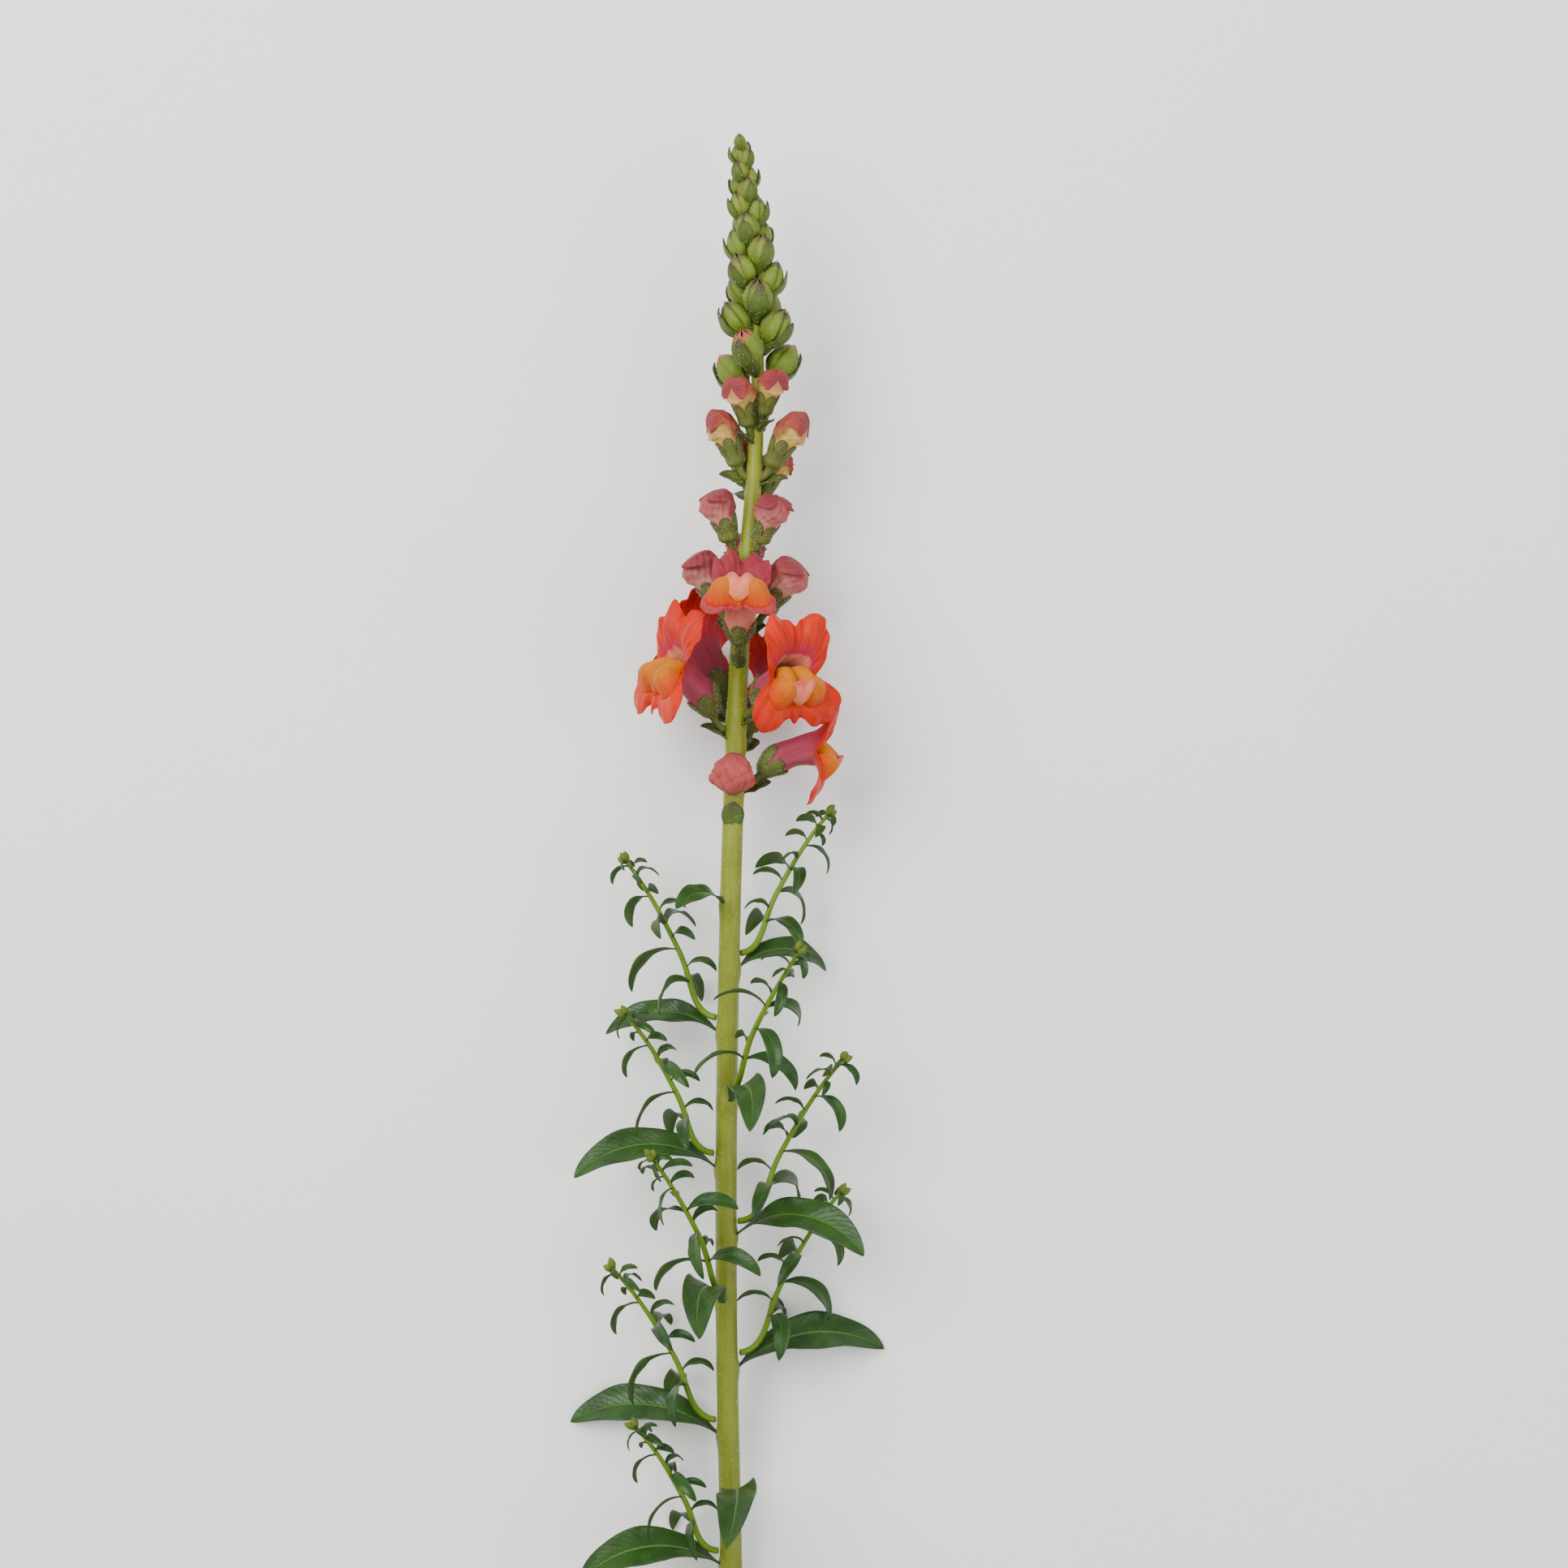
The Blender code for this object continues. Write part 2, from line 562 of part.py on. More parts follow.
def calyx_shape(corolla, columns_per_sepal=3):
    """The stalk and its five sepals, which stand round the foot of the tube."""
    line, size = corolla.line, corolla.size
    stalk, tube = STALK_LENGTH * size, TUBE_LENGTH * size
    count = SEPALS * columns_per_sepal
    angles = np.linspace(0.0, 2 * math.pi, count, endpoint=False) + math.radians(90)
    notched = np.arange(count) % columns_per_sepal == 0
    lengths = np.where(notched, SEPAL_NOTCH, SEPAL_LENGTH) * size
    narrowing = LOBE_NARROWING * 2 * math.pi / SEPALS
    places = np.arange(count) % columns_per_sepal

    def lobe_ring(share, wall):
        """A ring of the cup and its lobes; the lobes narrow towards their tips."""
        lean_in = np.where(places == 1, narrowing, np.where(places == 2, -narrowing, 0.0)) * share
        ring = []
        for angle, length in zip(angles + lean_in, lengths):
            reached = share * length
            part = reached / tube
            half_width = float(smooth(part, TUBE_SHARES, TUBE_HALF_WIDTHS)) * size
            half_height = float(smooth(part, TUBE_SHARES, TUBE_HALF_HEIGHTS)) * size
            away = CLEARANCE + wall + CALYX_SPREAD * min(1.0, 2 * share)
            point = line.ring(stalk + reached, half_width + away, half_height + away, np.array([angle]))
            ring.append(point[0])
        return np.array(ring)

    radius = STALK_RADIUS * size
    rings = [line.ring(0.0, radius, radius, angles)]
    rings.append(line.ring(stalk - 0.0016 * size, radius * 2.1, radius * 2.1, angles))
    outer = [lobe_ring(s, CALYX_WALL) for s in (0.0, 0.55, 1.0)]
    inner = [lobe_ring(s, 0.0) for s in (1.0, 0.55, 0.0)]
    turned = len(rings) + len(outer) - 1
    floor_radius = TUBE_HALF_WIDTHS[0] * size
    floor = line.ring(stalk - CLEARANCE, floor_radius, floor_radius, angles)
    return closed_loft([*rings, *outer, *inner, floor], turned_from=turned)


def folded_petals(line, start, length, size):
    """The corolla of a flower that isn't open: a short tube with its lips folded to a blunt end."""
    angles = np.linspace(0.0, 2 * math.pi, FOLDED_SIDES, endpoint=False)
    rings = []
    for share, width, height in zip(FOLDED_SHARES, FOLDED_HALF_WIDTHS, FOLDED_HALF_HEIGHTS):
        rings.append(line.ring(start + share * length, width * size, height * size, angles))
    return closed_loft(rings)


def cup_shape(line, stalk, size, columns_per_sepal, petal_size):
    """The cup of a flower that isn't open: a solid stalk and floor, with five sepals round the petals."""
    count = SEPALS * columns_per_sepal
    angles = np.linspace(0.0, 2 * math.pi, count, endpoint=False) + math.radians(90)
    lengths = np.where(np.arange(count) % columns_per_sepal == 0, CUP_NOTCH, 1.0) * SEPAL_LENGTH * size
    radius, floor = STALK_RADIUS * size, CUP_FLOOR * size
    at_floor = FOLDED_HALF_WIDTHS[0] * petal_size + 1.5 * CLEARANCE
    at_tips = FOLDED_HALF_WIDTHS[1] * petal_size + 2 * CLEARANCE

    def lobe_ring(radius):
        ring = []
        for angle, length in zip(angles, lengths):
            ring.append(line.ring(stalk + length, radius, radius, np.array([angle]))[0])
        return np.array(ring)

    rings = [line.ring(0.0, radius, radius, angles)]
    rings.append(line.ring(stalk - 0.0010 * size, radius * 1.5, radius * 1.5, angles))
    rings.append(line.ring(stalk + floor, at_floor + CALYX_WALL, at_floor + CALYX_WALL, angles))
    rings.append(lobe_ring(at_tips + CALYX_WALL))
    rings.append(lobe_ring(at_tips))
    rings.append(line.ring(stalk + floor, at_floor, at_floor, angles))
    return closed_loft(rings, turned_from=3)


def build_stem():
    core = stem_tube(0.0, HEAD_START, 24, STEM_SIDES)
    bracts = []
    for flowers, (below, *form) in ((OPEN_FLOWERS, FLOWER_BRACT), (OPENING_FLOWERS, OPENING_BRACT)):
        for place, azimuth, *_ in flowers:
            bracts.append(bract_shape(place - below, azimuth, *form))
    bracts.append(bract_shape(*SPOON_BRACT))
    return fused("stem", core, bracts, GREEN_STEM)


def head_bud_places():
    """Place, azimuth and size of each green bud, lowest first; they close up towards the tip."""
    shares = np.linspace(0.0, 1.0, HEAD_BUDS)
    places = FIRST_GREEN_BUD + (LAST_GREEN_BUD - FIRST_GREEN_BUD) * (1.3 * shares - 0.3 * shares**2)
    for number, (share, place) in enumerate(zip(shares, places)):
        size = float(np.interp(share, (0.0, 0.45, 1.0), BUD_SIZES))
        yield float(place), (number * GOLDEN_ANGLE + FIRST_AZIMUTH) % 360, size


def build_head():
    core = stem_tube(HEAD_START + CLEARANCE, STEM_LENGTH, 12, 8)
    repeats = []
    for place, azimuth, size in COLOURED_BUDS:
        line, stalk = coloured_bud_line(place, azimuth, size)
        repeats.append(cup_shape(line, stalk, size, 2, BUD_PETALS * size))
        below, *form = COLOURED_BUD_BRACT
        repeats.append(bract_shape(place - below, azimuth, *form))
    for number, (place, azimuth, size) in enumerate(head_bud_places()):
        share = (place - FIRST_GREEN_BUD) / (STEM_LENGTH - FIRST_GREEN_BUD)
        rise = 42 + 34 * share
        reach = 0.0052 * (1 - share) + 0.0012
        repeats.append(bud_shape(place, azimuth, size, rise, reach))
        if number < HEAD_BRACTS:
            length, width = 0.0125 - 0.0040 * share, 0.0084 - 0.0034 * share
            repeats.append(bract_shape(place - 0.0026, azimuth, length, width, (rise - 12, rise + 8)))
    return fused("bud_head", core, repeats, GREEN_BUD)


def coloured_bud_line(place, azimuth, size):
    """The growth line of a coloured bud, and how long its stalk is."""
    stalk = BUD_STALK * size
    whole = stalk + BUD_LENGTH * size
    distances = (0.0, stalk * 0.5, stalk, stalk + 0.6 * (whole - stalk), whole)
    start = stem_radius(place) * 0.7
    return GrowthLine(place, azimuth, distances, BUD_RISES, (0,) * 5, start), stalk


def build_flowers():
    draws = random.Random(5)
    for number, (*bends, lips, size) in enumerate(OPEN_FLOWERS, 1):
        waves = (draws.uniform(6, 12), draws.uniform(0, 2 * math.pi))
        corolla = Corolla(flower_line(*bends, size), size, lips, waves)
        new_object(f"flower_{number}_calyx", calyx_shape(corolla), GREEN_CALYX)
        petals = new_object(f"flower_{number}_corolla", corolla.shape(), PINK, 0.5)
        if number in RESTING_FLOWERS:
            rest_on_surface(petals)
        new_object(f"flower_{number}_palate", corolla.palate(), PALATE_YELLOW, 0.5)


def petals_foot(stalk, size):
    """Where the petals of a flower that isn't open start: just above the solid floor of its cup."""
    return stalk + CUP_FLOOR * size + CLEARANCE


def build_withered_flower():
    place, azimuth = WITHERED_PLACE
    start = stem_radius(place) + CLEARANCE + WITHERED_LIFT
    line = GrowthLine(place, azimuth, WITHERED_REACHES, WITHERED_RISES, (0,) * 4, start)
    angles = np.linspace(0.0, 2 * math.pi, len(WITHERED_CREASES), endpoint=False)
    creases = np.array(WITHERED_CREASES)
    rings = []
    for reach, width, height in zip(WITHERED_REACHES, WITHERED_HALF_WIDTHS, WITHERED_HALF_HEIGHTS):
        rings.append(line.ring(reach, width * creases, height * creases, angles))
        creases = np.roll(creases, 3)
    new_object("withered_flower", closed_loft(rings), WITHERED_PINK)


def build_opening_flowers():
    for number, spec in enumerate(OPENING_FLOWERS, 1):
        size = spec[-1]
        line, stalk = flower_line(*spec), STALK_LENGTH * size
        cup = cup_shape(line, stalk, size, 2, OPENING_PETALS * size)
        new_object(f"opening_flower_{number}_calyx", cup, GREEN_CALYX)
        foot = petals_foot(stalk, size)
        petals = folded_petals(line, foot, stalk + TUBE_LENGTH * size - foot, OPENING_PETALS * size)
        new_object(f"opening_flower_{number}_petals", petals, PINK, 0.5)


def build_coloured_buds():
    for number, (place, azimuth, size) in enumerate(COLOURED_BUDS, 1):
        line, stalk = coloured_bud_line(place, azimuth, size)
        foot = petals_foot(stalk, size)
        petals = folded_petals(line, foot, stalk + BUD_LENGTH * size - foot, BUD_PETALS * size)
        new_object(f"bud_{number}_petals", petals, PINK, 0.5)


def build_leaves():
    for number, (place, azimuth, length, width, rise, fall, sway) in enumerate(LEAVES, 1):
        foot, _, out, tip = stem_frame(place, azimuth)
        root = foot + out * (stem_radius(place) + CLEARANCE)
        twist = LEAF_TWIST * math.cos(math.radians(azimuth))
        middle = leaf_middle(root, out, tip, length, width, (rise, fall), LEAF_FOLD, sway, twist, 7, 3)
        new_object(f"leaf_{number}", blade(lay_on_surface(middle), BLADE), GREEN_LEAF)


def shoot_shape(place, azimuth, length, turn, swing):
    """(core, leaves) of a side shoot: its leaves stand at its sides and outwards, away from the main stem."""
    start = stem_radius(place) + CLEARANCE
    distances = (0.0, 0.12 * length, 0.5 * length, length)
    line = GrowthLine(place, azimuth, distances, (0, 52, 62, 50), (0, 0.2 * turn, turn, turn), start)
    angles = np.linspace(0.0, 2 * math.pi, 4, endpoint=False)
    core = []
    for share in (0.0, 0.3, 0.65, 1.0):
        radius = float(np.interp(share, (0.0, 1.0), SHOOT_RADII))
        core.append(line.ring(share * length, radius, radius, angles))
    leaves = []
    grown = length / LONGEST_SHOOT
    for share, leaf_length, sides in SHOOT_LEAVES:
        point, side, up, ahead = line.at(share * length)
        for facing in sides:
            angle = math.radians(facing + swing)
            out = math.cos(angle) * side + math.sin(angle) * up
            root, width = point + SHOOT_SINK * out, SHOOT_LEAF_WIDTH * leaf_length
            size = (leaf_length * grown, width, SHOOT_LEAF_RISES)
            rows = 4 if leaf_length > 0.015 else 3
            middle = leaf_middle(root, out, ahead, *size, 0.0, 0.0, SHOOT_LEAF_TWIST, rows, 2)
            leaves.append(blade(lay_on_surface(middle), BLADE))
    return closed_loft(core), leaves


def build_shoots():
    for number, (leaf, length, turn, swing) in enumerate(SIDE_SHOOTS, 1):
        place, azimuth = LEAVES[leaf - 1][:2]
        core, leaves = shoot_shape(place + SHOOT_STEP, azimuth, length, turn, swing)
        fused(f"side_shoot_{number}", core, leaves, GREEN_LEAF)


def build():
    for old in list(bpy.data.objects):
        bpy.data.objects.remove(old)
    build_stem()
    build_head()
    build_flowers()
    build_withered_flower()
    build_opening_flowers()
    build_coloured_buds()
    build_leaves()
    build_shoots()


build()
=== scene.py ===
"""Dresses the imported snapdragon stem: petals, buds, leaves, side shoots and fine hairs, on a pale floor.

Metres, in the frame of the solids: the stem lies along Y with its tip at +Y, and +Z is the side that is seen.
An azimuth goes round the stem in degrees: 0 is +X, 90 is up, 180 is -X and 270 is down to the floor.
"""

import math
import random

import bpy
import numpy as np
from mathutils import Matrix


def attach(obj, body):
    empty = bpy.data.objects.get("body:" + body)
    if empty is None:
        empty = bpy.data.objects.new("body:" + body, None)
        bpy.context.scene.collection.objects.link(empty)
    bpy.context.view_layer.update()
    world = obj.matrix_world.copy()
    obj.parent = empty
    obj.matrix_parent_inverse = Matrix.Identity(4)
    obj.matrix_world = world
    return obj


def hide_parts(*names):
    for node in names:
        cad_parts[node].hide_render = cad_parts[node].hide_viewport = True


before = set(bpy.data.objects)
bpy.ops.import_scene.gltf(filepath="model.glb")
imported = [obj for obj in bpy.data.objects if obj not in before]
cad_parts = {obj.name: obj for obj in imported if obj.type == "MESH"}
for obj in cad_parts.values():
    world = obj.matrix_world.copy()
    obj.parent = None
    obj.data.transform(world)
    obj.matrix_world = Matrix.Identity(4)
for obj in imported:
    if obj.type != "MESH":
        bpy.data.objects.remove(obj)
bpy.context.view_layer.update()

bl_info = {
    "name": "Snapdragon Stem",
    "version": (1, 0, 0),
    "blender": (4, 5, 0),
    "location": "View3D > Sidebar > Snapdragon",
    "description": "Dresses a cut snapdragon stem with petals, buds, leaves and fine hairs",
    "category": "Object",
}

BODY = "root"

# Shapes and places are those of the solids, in metres and degrees, so that each piece covers its own solid.
# The stem: stations along it from its cut end, and its sideways place, its height and its radius there
STEM_LENGTH = 0.630
STATIONS = (0.0, 0.130, 0.220, 0.310, 0.410, 0.455, 0.515, 0.550, 0.590, 0.630)
SIDEWAYS = (0.0, -0.0015, -0.0030, -0.0026, 0.0, 0.0020, 0.0070, 0.0083, 0.0062, 0.0020)
HEIGHTS = (0.0040, 0.0128, 0.0196, 0.0265, 0.0334, 0.0354, 0.0378, 0.0390, 0.0405, 0.0422)
RADII = (0.0040, 0.0039, 0.0038, 0.00375, 0.0036, 0.0033, 0.0028, 0.0022, 0.0016, 0.0008)
CENTRE = (-0.0030, 0.3159)

# The gap between a piece and what carries it, the thickness of a solid petal, and how high a low leaf lies
CLEARANCE = 0.0004
BLADE = 0.0007
FLOOR_REST = 0.0004

# The head: where its axis starts, its green buds in a spiral, how many of the lowest show some petal colour,
# and how large the buds are at its foot, half way up and at its tip
HEAD_START = 0.492
FIRST_GREEN_BUD = 0.5415
LAST_GREEN_BUD = 0.626
HEAD_BUDS = 29
BLUSHING_BUDS = 4
FIRST_AZIMUTH = 200
GOLDEN_ANGLE = 137.5
BUD_SIZES = (0.0112, 0.0088, 0.0042)

# How a green bud stands: its rise at the head's foot and what the tip adds, its reach at the tip and what the
# foot adds
BUD_RISE, BUD_RISE_GAIN = 42, 34
BUD_REACH, BUD_REACH_LOSS = 0.0012, 0.0052

# The outline of a green bud: half widths, as shares of its size, at shares of its length; the outline starts a
# little before the bud's foot and spans more than its size
BUD_SHARES = (0.0, 0.30, 0.66, 0.90, 1.0)
BUD_RADII = (0.20, 0.46, 0.42, 0.22, 0.03)
BUD_START, BUD_SPAN = 0.1, 1.34

# Bracts: how far each stands below its flower or bud, its length, its width, and its rises at root and tip
FLOWER_BRACT = (0.0045, 0.0125, 0.0066, (42, 12))
OPENING_BRACT = (0.0045, 0.0085, 0.0060, (48, 22))
COLOURED_BUD_BRACT = (0.0030, 0.0115, 0.0062, (35, 5))
SPOON_BRACT = (0.3880, 90, 0.0115, 0.0100, (66, 84))
BRACT_TWIST = 45

# The shrivelled corolla on the front of the stem: place, azimuth, and its outline along its line
WITHERED_PLACE = (0.4015, 92)
WITHERED_RISES = (52, 78, 88, 84)
WITHERED_REACHES = (0.0, 0.0030, 0.0090, 0.0150)
WITHERED_LIFT = 0.0013
WITHERED_HALF_WIDTHS = (0.0022, 0.0058, 0.0066, 0.0034)
WITHERED_HALF_HEIGHTS = (0.0016, 0.0024, 0.0026, 0.0014)

# One flower: its stalk, its tube with its outline, and its lips. The lips go by angle round the mouth, from
# below (-90) to above (90) and alike on both sides: length, direction, and lean from the tube's axis at their
# root and at their edge
STALK_LENGTH = 0.0085
STALK_RADIUS = 0.0011
TUBE_LENGTH = 0.0210
TUBE_SHARES = (0.0, 0.25, 0.65, 1.0)
TUBE_HALF_WIDTHS = (0.0028, 0.0052, 0.0058, 0.0072)
TUBE_HALF_HEIGHTS = (0.0028, 0.0050, 0.0052, 0.0066)
LIP_ANGLES = (-90, -73, -60, -42, -26, -12, 6, 32, 58, 76, 90)
LIP_LENGTHS = (0.0125, 0.0100, 0.0155, 0.0190, 0.0145, 0.0036, 0.0095, 0.0175, 0.0200, 0.0165, 0.0125)
LIP_SPREADS = (-90, -80, -68, -50, -30, -5, 40, 62, 74, 83, 90)
LIP_LEANS_AT_ROOT = (62, 62, 62, 60, 55, 45, 28, 18, 15, 15, 15)
LIP_LEANS_AT_EDGE = (132, 128, 134, 136, 120, 80, 88, 104, 108, 96, 88)

# The cushion in the mouth: how much of the lip it covers, its height, the angles that it spans, the half width
# and height of its upper edge, the share of it above the lip's root, and how it swells along its length
PALATE_SHARE = 0.44
PALATE_HEIGHT = 0.0072
CUSHION_START, CUSHION_TURN = -168.0, 156.0
CUSHION_TOP = (0.0062, 0.0024)
CUSHION_RIM = 0.34
CUSHION_SHARES = (0.0, 0.16, 0.42, 0.72, 1.0)
CUSHION_SWELLS = (0.55, 0.92, 1.04, 0.74, -0.04)

# The green cup with its sepals, and the folded petals of a flower that isn't open yet: their outline, their
# size in opening flowers and in buds, and the bud's stalk, length and rises
SEPALS = 5
SEPAL_LENGTH = 0.0085
SEPAL_NOTCH = 0.0020
CALYX_WALL = 0.0008
CUP_FLOOR = 0.0024
FOLDED_SHARES = (0.0, 0.30, 0.58, 0.80, 0.94, 1.0)
FOLDED_HALF_WIDTHS = (0.0024, 0.0036, 0.0043, 0.0047, 0.0038, 0.0016)
FOLDED_HALF_HEIGHTS = (0.0024, 0.0035, 0.0042, 0.0042, 0.0030, 0.0014)
OPENING_PETALS = 1.42
BUD_PETALS = 1.16
BUD_STALK = 0.0075
BUD_LENGTH = 0.0195
BUD_RISES = (15, 60, 64, 50, -10)

# How dark tips and edges are: strength, start and end along the piece; strength, start across it, and start and
# end along it; and the most that both make
DARK_BRACT = ((0.80, 0.62, 0.98), (0.45, 0.80, 0.20, 0.60), 0.90)
DARK_CUPPED_BRACT = ((0.90, 0.70, 0.98), (0.55, 0.78, 0.25, 0.60), 0.95)
DARK_BUD = ((0.85, 0.78, 0.97), (0.60, 0.80, 0.30, 0.75), 0.90)
DARK_SEPALS = ((0.75, 0.80, 1.00), (0.35, 0.75, 0.30, 0.50), 1.10)

# Each kind of piece: faces across and along, finishes of its outside and inside, the thickness of its wall, and
# whether it closes round. A piece with no wall is solid.
KINDS = {
    "stem": (40, 560, ("stem",), 0.0, True),
    "axis": (32, 130, ("stem",), 0.0, True),
    "twig": (12, 60, ("shoot",), 0.0, True),
    "bud": (60, 24, ("bud",), 0.0, True),
    "tip_bud": (20, 12, ("bud",), 0.0, True),
    "bract": (10, 14, ("bract",), 0.00055, False),
    "cupped_bract": (14, 18, ("bract",), 0.00045, False),
    "sepals": (60, 30, ("calyx",), 0.0006, True),
    "red_petals": (156, 60, ("petal_inside", "petal_outside"), 0.00045, True),
    "pink_petals": (156, 60, ("pink_inside", "pink_outside"), 0.00045, True),
    "cushion": (64, 32, ("palate",), 0.0005, False),
    "heart": (28, 22, ("heart",), 0.0005, False),
    "opening_folds": (84, 56, ("opening_petals",), 0.0, True),
    "bud_folds": (84, 56, ("bud_petals",), 0.0, True),
    "withered": (90, 50, ("withered",), 0.0, True),
    "leaf": (16, 60, ("leaf_top", "leaf_under"), 0.00042, False),
    "shoot_leaf": (8, 22, ("leaf_top", "leaf_under"), 0.00036, False),
}

# Open flowers: place, azimuth, rise at foot and at mouth, turn, length of the lips as a share, size
OPEN_FLOWERS = (
    (0.4050, 352, 42, 8, -14, 1.0, 0.96),
    (0.4240, 162, 56, 32, 14, 1.0, 1.00),
    (0.4190, 308, 60, 46, 4, 1.0, 0.96),
    (0.4290, 230, 60, 40, -4, 1.0, 0.99),
    (0.4290, 40, 46, 13, -18, 1.0, 0.98),
    (0.4490, 92, 66, 56, 0, 0.64, 0.95),
)

# Which of them rest on the floor, which are still pink, and which show their heart-shaped lobe
RESTING_FLOWERS = (3, 4)
PINK_FLOWERS = (6,)
HEART_FLOWERS = (1, 5, 6)

# Opening flowers: place, azimuth, rise at foot and at mouth, turn, size
OPENING_FLOWERS = (
    (0.4615, 187, 60, 50, 0, 0.94),
    (0.4610, 12, 60, 50, 0, 0.96),
    (0.4700, 266, 64, 56, 0, 0.86),
    (0.4850, 160, 64, 56, 0, 0.84),
    (0.4860, 56, 60, 54, 0, 0.80),
)

# Buds that show their petals: place, azimuth, size
COLOURED_BUDS = (
    (0.5015, 304, 0.90),
    (0.5060, 240, 0.90),
    (0.5120, 15, 1.00),
    (0.5120, 170, 0.97),
    (0.5250, 270, 0.86),
    (0.5265, 126, 0.84),
    (0.5310, 62, 0.78),
)

# Leaves of the main stem: place, azimuth, length, width, rise at the root and at the tip, sway sideways
LEAVES = (
    (0.1040, 12, 0.054, 0.018, 36, -34, 0.005),
    (0.1260, 168, 0.056, 0.018, 38, -40, -0.006),
    (0.1490, 78, 0.056, 0.018, 46, -50, 0.012),
    (0.1730, 190, 0.058, 0.018, 38, -34, 0.004),
    (0.1970, 348, 0.058, 0.018, 40, -36, -0.006),
    (0.2210, 112, 0.055, 0.017, 48, -52, -0.012),
    (0.2450, 22, 0.056, 0.017, 42, -48, 0.006),
    (0.2690, 176, 0.055, 0.016, 40, -46, -0.005),
    (0.2930, 68, 0.050, 0.015, 46, -54, 0.010),
    (0.3170, 200, 0.044, 0.013, 36, -44, -0.005),
    (0.3400, 335, 0.040, 0.012, 40, -50, -0.004),
    (0.3630, 128, 0.026, 0.010, 44, -46, 0.002),
)
LEAF_TWIST = 50
LEAF_FOLD, LEAF_RUFFLE = 0.24, 0.16

# Side shoots: the leaf that each stands above, its length, its turn sideways, and its leaves' turn round it
SIDE_SHOOTS = (
    (2, 0.058, 4, 0),
    (4, 0.068, 8, 8),
    (5, 0.070, -8, -8),
    (6, 0.064, -14, 6),
    (7, 0.072, 8, 0),
    (8, 0.062, 8, 8),
    (9, 0.064, 14, -6),
    (10, 0.066, 4, 0),
    (11, 0.060, -6, 6),
)

# How far above its leaf a shoot stands, its rises along it, its radius and taper, and the longest one's length
SHOOT_STEP = 0.0050
SHOOT_RISES = (0, 52, 62, 50)
SHOOT_RADIUS, SHOOT_TAPER = 0.0012, 0.0005
LONGEST_SHOOT = 0.072

# Leaves of a side shoot: share of its length, their length on the longest shoot, and the sides they face
SHOOT_LEAVES = (
    (0.26, 0.028, (-15, 195)),
    (0.45, 0.028, (-75,)),
    (0.60, 0.024, (10, 170)),
    (0.77, 0.019, (-100,)),
    (0.90, 0.014, (20, 160)),
    (0.97, 0.011, (-70,)),
)

# Small leaves between them: share of the shoot's length, side faced, length
SMALL_LEAVES = (
    (0.34, 95, 0.015),
    (0.52, 60, 0.015),
    (0.68, 125, 0.013),
    (0.80, 40, 0.012),
    (0.86, -150, 0.009),
    (0.95, 75, 0.009),
    (0.99, 190, 0.009),
    (0.99, 0, 0.009),
)

# Their widths as shares of their length, how far their faces twist, and the thickness of the buds at the tip
SHOOT_LEAF_WIDTH = 0.29
SMALLEST_LEAF_WIDTH = 0.34
SHOOT_LEAF_TWIST = 35
TIP_BUD_RADIUS = 0.0013

# Hairs: name, which of the hairy pieces they stand on, length, seed and slot
HAIR_WIDTH = 0.00004
HAIRS = (
    ("stem_hairs", slice(0, 1), 0.0006, 31, "stem_green"),
    ("head_hairs", slice(1, 2), 0.0007, 32, "bud_green"),
    ("sepal_hairs", slice(2, None), 0.0007, 33, "calyx_green"),
)

# The photograph's frame: its side in pixels, its scale and where the stem's foot and axis stand in it
PHOTO_SIDE = 1932
PHOTO_PIXELS_PER_METRE = 3500
PHOTO_FOOT_ROW = 2383
PHOTO_AXIS_COLUMN = 905

# The camera's lens and film width, and the place on the stem whose height the photograph's scale holds at
LENS, FILM = 0.085, 0.036
SCALE_PLACE = 0.42

# Lights: name, share of the key light's power, size, place and target; and the even light of the room
LIGHTS = (
    ("key", 1.0, 1.1, (-0.75, 0.55, 1.25), (0.0, 0.05, 0.0)),
    ("fill", 0.45, 1.4, (0.95, -0.25, 1.15), (0.0, 0.05, 0.0)),
    ("tip", 0.25, 0.8, (0.1, 1.1, 0.8), (0.0, 0.15, 0.0)),
)
ROOM_LIGHT = 0.62


def unit(vector):
    return vector / np.linalg.norm(vector, axis=-1, keepdims=True)


def smooth(x, stations, values):
    """A smooth curve through the values at the stations, read at x."""
    stations, values = np.asarray(stations, float), np.asarray(values, float)
    slopes = np.gradient(values, stations)
    x = np.clip(x, stations[0], stations[-1])
    i = np.clip(np.searchsorted(stations, x) - 1, 0, len(stations) - 2)
    step = stations[i + 1] - stations[i]
    u = (x - stations[i]) / step
    rise = u * u * (3 - 2 * u)
    ends = values[i] * (1 - rise) + values[i + 1] * rise
    return ends + step * u * (1 - u) * ((1 - u) * slopes[i] - u * slopes[i + 1])


def ease(x, start, end):
    """0 below start, 1 above end, and a soft rise between them."""
    t = np.clip((x - start) / (end - start), 0.0, 1.0)
    return t * t * (3 - 2 * t)


def stem_point(place):
    place = np.asarray(place, float)
    across, height = smooth(place, STATIONS, SIDEWAYS), smooth(place, STATIONS, HEIGHTS)
    return np.stack([across - CENTRE[0], place - CENTRE[1], height], axis=-1)


def stem_frame(place, azimuth):
    """A point of the axis, with the directions sideways, outwards and towards the tip at that azimuth."""
    step = 0.002
    place = np.asarray(place, float)
    tip = unit(stem_point(place + step) - stem_point(place - step))
    right = unit(np.cross(tip, (0.0, 0.0, 1.0)))
    up = np.cross(right, tip)
    angle = np.radians(azimuth)[..., None] if np.ndim(azimuth) else np.radians(azimuth)
    outwards = np.cos(angle) * right + np.sin(angle) * up
    return stem_point(place), np.cross(tip, outwards), outwards, tip


